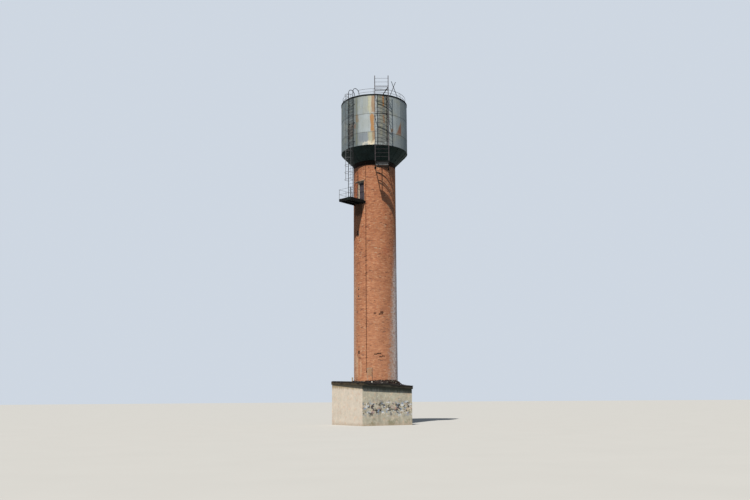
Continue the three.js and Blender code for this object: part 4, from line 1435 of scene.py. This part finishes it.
def lay_bit():
    """A stone or a shard; those in the heap lie closer together and may be larger."""
    heaped = chance.random() < 0.62
    azimuth = chance.gauss(HEAP_AZIMUTH, 34) if heaped else chance.uniform(-180, 180)
    away = 2.06 + abs(chance.gauss(0, 0.12 + 0.10 * heap_share(azimuth)))
    x, y, _ = on_tower(away, azimuth, 0)
    broken_brick = chance.random() < 0.3
    size = chance.uniform(0.10, 0.19) if broken_brick else chance.uniform(0.025, 0.09 + 0.05 * heaped)
    height = roof_height(x, y) + tar_height(away, azimuth) + size * 0.12
    lie = {"tip": chance.uniform(-0.7, 0.7), "roll": chance.uniform(-0.7, 0.7)}
    which = 4 + chance.randrange(2) if broken_brick else chance.randrange(4)
    return place((x, y, height), chance.uniform(0, 360), (size,) * 3, chance.choice(TONES), which, **lie)


places = [lay_bit() for i in range(BITS)]
for x, y, size, tone in PALE_STONES:
    places.append(place((x, y, roof_height(x, y) + 0.05), 20, (size,) * 3, tone, 1))
shapes = [stone_shape(seed) for seed in range(4)] + [shard_shape(slant) for slant in (0.35, -0.5)]
lay_out("roof_rubble", shapes, places, "tar", make_rubble())

# %% Vent pipe
VENT_AT = (-1.89, 1.15)
VENT_HEIGHT = 0.46


def hollow_pipe(radius, bore, bottom, top, at, sides=20):
    """An open pipe whose top has a wall thickness and an inside."""
    middle = (*at, (top + bottom) / 2)
    bpy.ops.mesh.primitive_cylinder_add(vertices=sides, radius=radius, depth=top - bottom, location=middle)
    pipe = settle(bpy.context.object)
    shape(pipe)
    pick(pipe, "FACE", UPWARDS)
    bpy.ops.mesh.inset(thickness=radius - bore)
    bpy.ops.mesh.extrude_region_move(TRANSFORM_OT_translate={"value": (0, 0, -0.12)})
    done()
    return pipe


foot = roof_height(*VENT_AT)
head = foot + VENT_HEIGHT
pipe = hollow_pipe(0.055, 0.043, foot, head, VENT_AT)
collar = hollow_pipe(0.066, 0.054, head - 0.13, head - 0.02, VENT_AT)
flange = hollow_pipe(0.10, 0.054, foot, foot + 0.05, VENT_AT)
hang("roof_vent", gather([pipe, collar, flange]), "plaster")

# %% [markdown]
# ## The two doors
#
# The upper door is set deep in the wall, in a cream frame between whitewashed reveals, and
# the entrance on the back is the same kind of boarded door. Both get the same dressing:
# upright boards with rounded edges, three ledges, strap hinges and a pull handle. It is
# made facing -Y with the leaf at y = 0 and then moved to its doorway.

# %% A boarded door
BOARDS = 6
BOARD = 0.014
FRAME_BAR = 0.045
FRAME_DEPTH = 0.05
DOOR_AZIMUTH = -72.4
DOORS = (
    # name, azimuth, distance from the axis, half width, bottom and top
    ("balcony", DOOR_AZIMUTH, 1.822, 0.396, 21.062, 22.992),
    ("entrance", 180.0, 3.172, 0.446, 0.155, 2.145),
)


def bolt_shape(radius=0.012, rise=0.008):
    """A six-sided bolt head standing on y = 0."""
    bpy.ops.mesh.primitive_cylinder_add(vertices=6, radius=radius, depth=rise * 2, rotation=LYING)
    rounded = {"offset": radius * 0.18, "segments": 1}
    bolt = settle(bpy.context.object)
    return edit(bolt, "FACE", FRONTWARDS, bpy.ops.mesh.bevel, **rounded)


def boarded_leaf(half, bottom, top):
    step = 2 * half / BOARDS
    starts = [-half + i * step + 0.002 for i in range(BOARDS)]
    return gather([block((x, -BOARD, bottom), (x + step - 0.004, 0.004, top), 0.003) for x in starts])


def door_irons(half, bottom, top):
    """Ledges, strap hinges on the left and a pull handle on the right."""
    irons = []

    def bar(left, right, out, back, low, high, soften):
        irons.append(block((left, -BOARD - out, low), (right, back - BOARD, high), soften))

    for share in (0.12, 0.50, 0.88):
        z = bottom + (top - bottom) * share
        bar(-half + 0.01, half - 0.01, 0.008, 0.002, z - 0.03, z + 0.03, 0.003)
    for share in (0.19, 0.81):
        z = bottom + (top - bottom) * share
        bar(-half, half * 0.35, 0.006, 0.001, z - 0.02, z + 0.02, 0.002)
        tip = {"value": (1, 1, 0.4)}
        edit(irons[-1], "FACE", facing(1, 0, 0), bpy.ops.transform.resize, **tip)
        at = (-half + 0.006, -BOARD - 0.008, z)
        bpy.ops.mesh.primitive_cylinder_add(vertices=12, radius=0.012, depth=0.09, location=at)
        irons.append(settle(bpy.context.object))
    z = bottom + (top - bottom) * 0.46
    bar(half - 0.10, half - 0.08, 0.05, -0.035, z - 0.08, z + 0.08, 0.005)
    for end in (-0.07, 0.07):
        bar(half - 0.10, half - 0.08, 0.045, 0, z + end - 0.009, z + end + 0.009, 0.003)
    bar(half - 0.16, half - 0.01, 0.008, 0, z + 0.14, z + 0.18, 0.002)
    return gather(irons)


def door_frame(half, bottom, top):
    inner, under = half - FRAME_BAR, top - FRAME_BAR
    bars = ((-half, -inner, bottom), (inner, half, bottom), (-inner, inner, under))
    return gather([block((a, -FRAME_DEPTH, low), (b, 0.02, top), 0.004) for a, b, low in bars])


for where, azimuth, distance, half, bottom, top in DOORS:
    inside = (half - FRAME_BAR, bottom, top - FRAME_BAR)
    for part, piece, slot_name, finish in (
        ("boards", boarded_leaf(*inside), "door", None),
        ("irons", door_irons(*inside), "steel", None),
        ("frame", door_frame(half, bottom, top), "lintel", whitewash),
    ):
        piece.location.y = -distance
        hang(f"{where}_door_{part}", settle(piece), slot_name, finish, azimuth)

# %% [markdown]
# The reveals of the upper doorway carry a thick coat of whitewashed render with broken
# edges, and the doorway has a cast sill.

# %% Reveals and sill
REVEAL_HALF = 0.3925
REVEAL_EDGE = -1.975


def reveal(side):
    sideways = (0, math.pi / 2, 0)
    bpy.ops.mesh.primitive_grid_add(x_subdivisions=8, y_subdivisions=60, size=1, rotation=sideways)
    coat = settle(bpy.context.object)
    coat.rotation_euler.x = math.pi / 2
    settle(coat)
    coat.scale = (1, 0.115, 1.94)
    coat.location = (side * REVEAL_HALF, -1.9275, 22.025)
    settle(coat)
    shape(coat)
    if side > 0:
        bpy.ops.mesh.flip_normals()
    mesh = bmesh.from_edit_mesh(coat.data)
    for at in (point.co for point in mesh.verts):
        if at.y < REVEAL_EDGE:
            at.y += 0.02 + 0.018 * math.sin(at.z * 9) + chance.uniform(-0.01, 0.01)
    bmesh.update_edit_mesh(coat.data)
    done()
    roughen(coat, 0.004, 9, seed=side + 3)
    apply_modifier(coat, "SOLIDIFY", thickness=0.007, offset=0)
    return coat


hang("balcony_door_reveals", gather([reveal(-1), reveal(1)]), "lintel", whitewash, DOOR_AZIMUTH)
sill = block((-0.398, -2.085, 21.045), (0.398, -1.83, 21.068), 0.006)
shape(sill)
bpy.ops.mesh.subdivide(number_cuts=6)
done()
hang("balcony_door_sill", roughen(sill, 0.006, 11, seed=4), "concrete", azimuth=DOOR_AZIMUTH)
step = block((-0.448, -3.33, 0.12), (0.448, -3.165, 0.162), 0.008)
hang("entrance_sill", step, "concrete", azimuth=180)

# %% [markdown]
# ## Balcony details
#
# The deck is chequer plate, so a lozenge is set out on it some nine hundred times. An
# angle runs round its edge, every post and stile stands on a bolted foot plate, and the
# bearers are held to the brickwork by wall plates.

# %% Chequer plate
BALCONY = (-1.01, 0.515)
DECK_TOP = 21.0
LOZENGE = (0.034, 0.012, 0.0022)


def lozenge_shape():
    """A raised lozenge lying on z = 0."""
    bpy.ops.mesh.primitive_cylinder_add(vertices=4, radius=0.5, depth=1, location=(0, 0, 0.5))
    top = {"value": (0.6, 0.6, 1)}
    lozenge = settle(bpy.context.object)
    return edit(lozenge, "FACE", UPWARDS, bpy.ops.transform.resize, **top)


def chequer(left, right, near, far, height, step):
    """Lozenges between two sides, from near to far along -Y."""
    places = []
    for i in range(int((right - left) / step)):
        for j in range(int((far - near) / step)):
            at = (left + (i + 0.5) * step, -near - (j + 0.5) * step, height)
            places.append(place(at, 45 if (i + j) % 2 else -45, LOZENGE))
    return set_out([lozenge_shape()], places)


plate = chequer(*BALCONY, 2.12, 3.98, DECK_TOP - 0.0002, 0.055)
hang("balcony_chequer", plate, "dark", tarred, DOOR_AZIMUTH)

# %% Kerb, foot plates and wall plates
KERB = 0.05
CAGED_OUT = 3.45
CAGED_SIDES = (-0.29, 0.29)
SHAFT_FACE = 2.058
BEARERS = (-0.98, -0.26, 0.26, 0.485)

left, right = BALCONY
kerbs = ((left - 0.004, left + 0.001, -2.0), (right - 0.001, right + 0.004, -2.05))
kerbs += ((left - 0.004, right + 0.004, -3.999),)
kerb = [block((a, -4.004, DECK_TOP - 0.03), (b, back, DECK_TOP + KERB), 0.001) for a, b, back in kerbs]
hang("balcony_kerb", gather(kerb), "dark", tarred, DOOR_AZIMUTH)

foot_plate = [block((-0.05, -0.05, 0), (0.05, 0.05, 0.008), 0.002)]
for x, y in ((-0.035, -0.035), (0.035, -0.035), (0.035, 0.035), (-0.035, 0.035)):
    bolt = bolt_shape(0.009, 0.008)
    bolt.rotation_euler.x = -math.pi / 2
    bolt.location = (x, y, 0.006)
    foot_plate.append(settle(bolt))
feet = [(x, y) for x in (left + 0.052, right - 0.052) for y in (-3.948, -3.052, -2.122)]
feet += [(x, -CAGED_OUT) for x in CAGED_SIDES]
places = [place((*at, DECK_TOP)) for at in feet]
lay_out("balcony_foot_plates", [gather(foot_plate)], places, "steel", azimuth=DOOR_AZIMUTH)


def wall_plate(width, tall, thickness, bolts):
    """A plate on the wall at y = 0, with bolts at its corners or at its sides."""
    parts = [block((-width / 2, -thickness, -tall / 2), (width / 2, 0.02, tall / 2), 0.002)]
    for x in (-1, 1):
        for z in (-1, 1) if bolts == 4 else (0,):
            bolt = bolt_shape()
            bolt.location = (x * (width / 2 - 0.022), -thickness, z * (tall / 2 - 0.028))
            parts.append(settle(bolt))
    return gather(parts)


plate = wall_plate(0.15, 0.26, 0.012, 4)
places = [against(SHAFT_FACE, x, 20.89) for x in BEARERS]
lay_out("balcony_wall_plates", [plate], places, "dark", tarred, DOOR_AZIMUTH)

# %% [markdown]
# ## Ladder details
#
# The caged ladder's tubes are joined by sleeves and its brackets end in plates on the tank.
# The wide front ladder is made of flat bars spliced half-way up, and each rung goes through
# them and is upset into a collar at its ends.

# %% Sleeves, brackets, splices and collars
TANK_FACE = 3.2625
FRONT = -31.4
FRONT_SIDES = (0.08, 1.365)
FRONT_OUT = 4.05
SPLICE_OUT = 4.0675
CAGED_RUNG = 0.3
FRONT_RUNG = 0.372


def sleeve_shape(radius, tall, sides=10):
    """A short tube with chamfered ends, standing about the origin."""
    bpy.ops.mesh.primitive_cylinder_add(vertices=sides, radius=radius, depth=tall)
    sleeve = settle(bpy.context.object)
    apply_modifier(sleeve, "BEVEL", width=radius * 0.15, segments=1)
    return sleeve


places = [place((x, -CAGED_OUT, z)) for x in CAGED_SIDES for z in (23.95, 26.95, 29.95)]
for x in CAGED_SIDES:
    places += [place((x, -CAGED_OUT, DECK_TOP + CAGED_RUNG * i), shape=1) for i in range(1, 36)]
sleeves = [sleeve_shape(0.037, 0.13), sleeve_shape(0.0325, 0.030)]
lay_out("caged_ladder_sleeves", sleeves, places, "steel", painted, DOOR_AZIMUTH)

places = [against(TANK_FACE, x, z) for x in CAGED_SIDES for z in (26.67, 28.57, 30.47)]
plate = wall_plate(0.12, 0.09, 0.007, 2)
lay_out("caged_ladder_brackets", [plate], places, "steel", painted, DOOR_AZIMUTH)

places = [against(TANK_FACE, x, 29.0) for x in FRONT_SIDES]
lay_out("front_ladder_tie_plates", [wall_plate(0.14, 0.12, 0.008, 2)], places, "steel", azimuth=FRONT)

places = []
for x, outwards in zip(FRONT_SIDES, (-1, 1)):
    places += [place((x, -SPLICE_OUT, z)) for z in (28.12, 30.72)]
    for i in range(22):
        for side in (outwards, -outwards):
            at = (x + side * 0.035, -FRONT_OUT, 24.71 + FRONT_RUNG * i)
            places.append(place(at, 90 * side, shape=1))
fittings = [wall_plate(0.052, 0.34, 0.008, 4), bolt_shape(0.023, 0.007)]
lay_out("front_ladder_fittings", fittings, places, "steel", azimuth=FRONT)

# %% Landing
LANDING = (0.05, 1.395)
TREADS_OUT = (3.066, 3.50, 3.84)

hang("landing_chequer", chequer(*LANDING, 3.57, 4.10, 24.2851, 0.05), "dark", tarred, FRONT)
places = [against(SHAFT_FACE, x, 24.22) for x in FRONT_SIDES]
lay_out("landing_wall_plates", [wall_plate(0.17, 0.22, 0.012, 4)], places, "dark", tarred, FRONT)
treads = [block((0.116, -out - 0.012, 24.185), (1.329, -out, 24.262), 0.003) for out in TREADS_OUT]
hang("landing_treads", gather(treads), "steel", greyed, FRONT)

# %% [markdown]
# ## On the roof
#
# Nobody sees the roof from the ground, but the ladders lead there, so it needs a way in: a
# hatch with a turned-down lid beside the caged ladder, and a mushroom vent at the crown.
# The guard rail's posts stand on small round flanges.

# %% Hatch, vent and flanges
ROOF_PEAK = 31.5003
ROOF_SLOPE = (ROOF_PEAK - 31.2553) / 3.29
HATCH_OUT = 1.85
GUARD_RADIUS = 3.12
GUARD_START = -61.4
GUARD_ROUND = 338


def roof_level(radius):
    return ROOF_PEAK - ROOF_SLOPE * radius


hatch = [block((-0.36, -0.36, -0.04), (0.36, 0.36, 0.11), 0.006)]
lid = block((-0.385, -0.385, 0.085), (0.385, 0.385, 0.135), 0.010)
hatch.append(press(lid, UPWARDS, 0.10, (0, 0, 0.012)))
for x in (-0.2, 0.2):
    hatch.append(block((x - 0.045, 0.35, 0.06), (x + 0.045, 0.41, 0.15), 0.004))
bpy.ops.mesh.primitive_torus_add(
    major_radius=0.06,
    minor_radius=0.007,
    major_segments=16,
    minor_segments=6,
    location=(0, -0.25, 0.155),
    rotation=LYING,
)
hatch.append(settle(bpy.context.object))
hatch = gather(hatch)
hatch.rotation_euler.x = math.atan(ROOF_SLOPE)
hatch.location = (0, -HATCH_OUT, roof_level(HATCH_OUT))
hang("roof_hatch", settle(hatch), "dark", azimuth=DOOR_AZIMUTH)

vent = [hollow_pipe(0.09, 0.08, 31.47, 31.80, (0, 0), sides=24)]
over = (0, 0, 31.875)
bpy.ops.mesh.primitive_cone_add(vertices=24, radius1=0.19, radius2=0.02, depth=0.11, location=over)
cowl = settle(bpy.context.object)
vent.append(press(cowl, facing(0, 0, -1), 0.012, (0, 0, 0.03)))
apply_modifier(cowl, "BEVEL", width=0.004, segments=1)
vent += [block((x, -0.008, 31.74), (x + 0.015, 0.008, 31.86), 0.002) for x in (-0.09, 0.075)]
vent.append(hollow_pipe(0.16, 0.088, 31.48, 31.52, (0, 0), sides=24))
hang("roof_vent_cowl", gather(vent), "dark")

places = []
for part in range(4):
    start = GUARD_START + GUARD_ROUND * part / 4 + 2
    reach = GUARD_ROUND / 4 - 4
    for post in range(4):
        at = on_tower(GUARD_RADIUS, start + reach * post / 3, roof_level(GUARD_RADIUS) + 0.004)
        places.append(place(at))
lay_out("guard_rail_flanges", [sleeve_shape(0.05, 0.024, sides=16)], places, "steel")

# %% [markdown]
# ## Lines on the wall
#
# The lightning conductor runs down the brickwork and ends at a test clamp above the base.
# Its clips and those of the tank pipe get bolts, and the pipe has two couplings.

# %% Conductor and pipe fittings
CONDUCTOR_AZIMUTH = -55.4
PIPE_AZIMUTH = -9.5


def spread(bottom, reach, count):
    """Heights that share a length out evenly."""
    return [bottom + reach * (i + 0.5) / count for i in range(count)]


clamp = block((-0.035, -2.13, 4.80), (0.035, -2.075, 4.92), 0.006)
press(clamp, FRONTWARDS, 0.012, (0, -0.006, 0))
clip = {"size": (0.6, 1, 0.6)}
places = [place((x, -SHAFT_FACE, z), **clip) for z in spread(4.8, 20.1, 12) for x in (-0.032, 0.032)]
clips = set_out([wall_plate(0.05, 0.06, 0.004, 2)], places)
hang("conductor_fittings", gather([clamp, clips]), "steel", brown, CONDUCTOR_AZIMUTH)

couplings = set_out([sleeve_shape(0.040, 0.11, sides=12)], [place((0, -3.30, z)) for z in (27.55, 29.6)])
places = [place((x, -3.26, z)) for z in spread(26.17, 4.96, 4) for x in (-0.075, 0.075)]
straps = set_out([wall_plate(0.09, 0.05, 0.005, 2)], places)
hang("tank_pipe_fittings", gather([couplings, straps]), "steel", azimuth=PIPE_AZIMUTH)

# %% [markdown]
# The casing ends below in a folded drip, which catches the light along the lower edge of
# the tank, and a painted highlight runs along that edge.

# %% Drip under the casing
hang("tank_drip", ring(3.262, 26.172, 0.016, segments=144), "sheet")
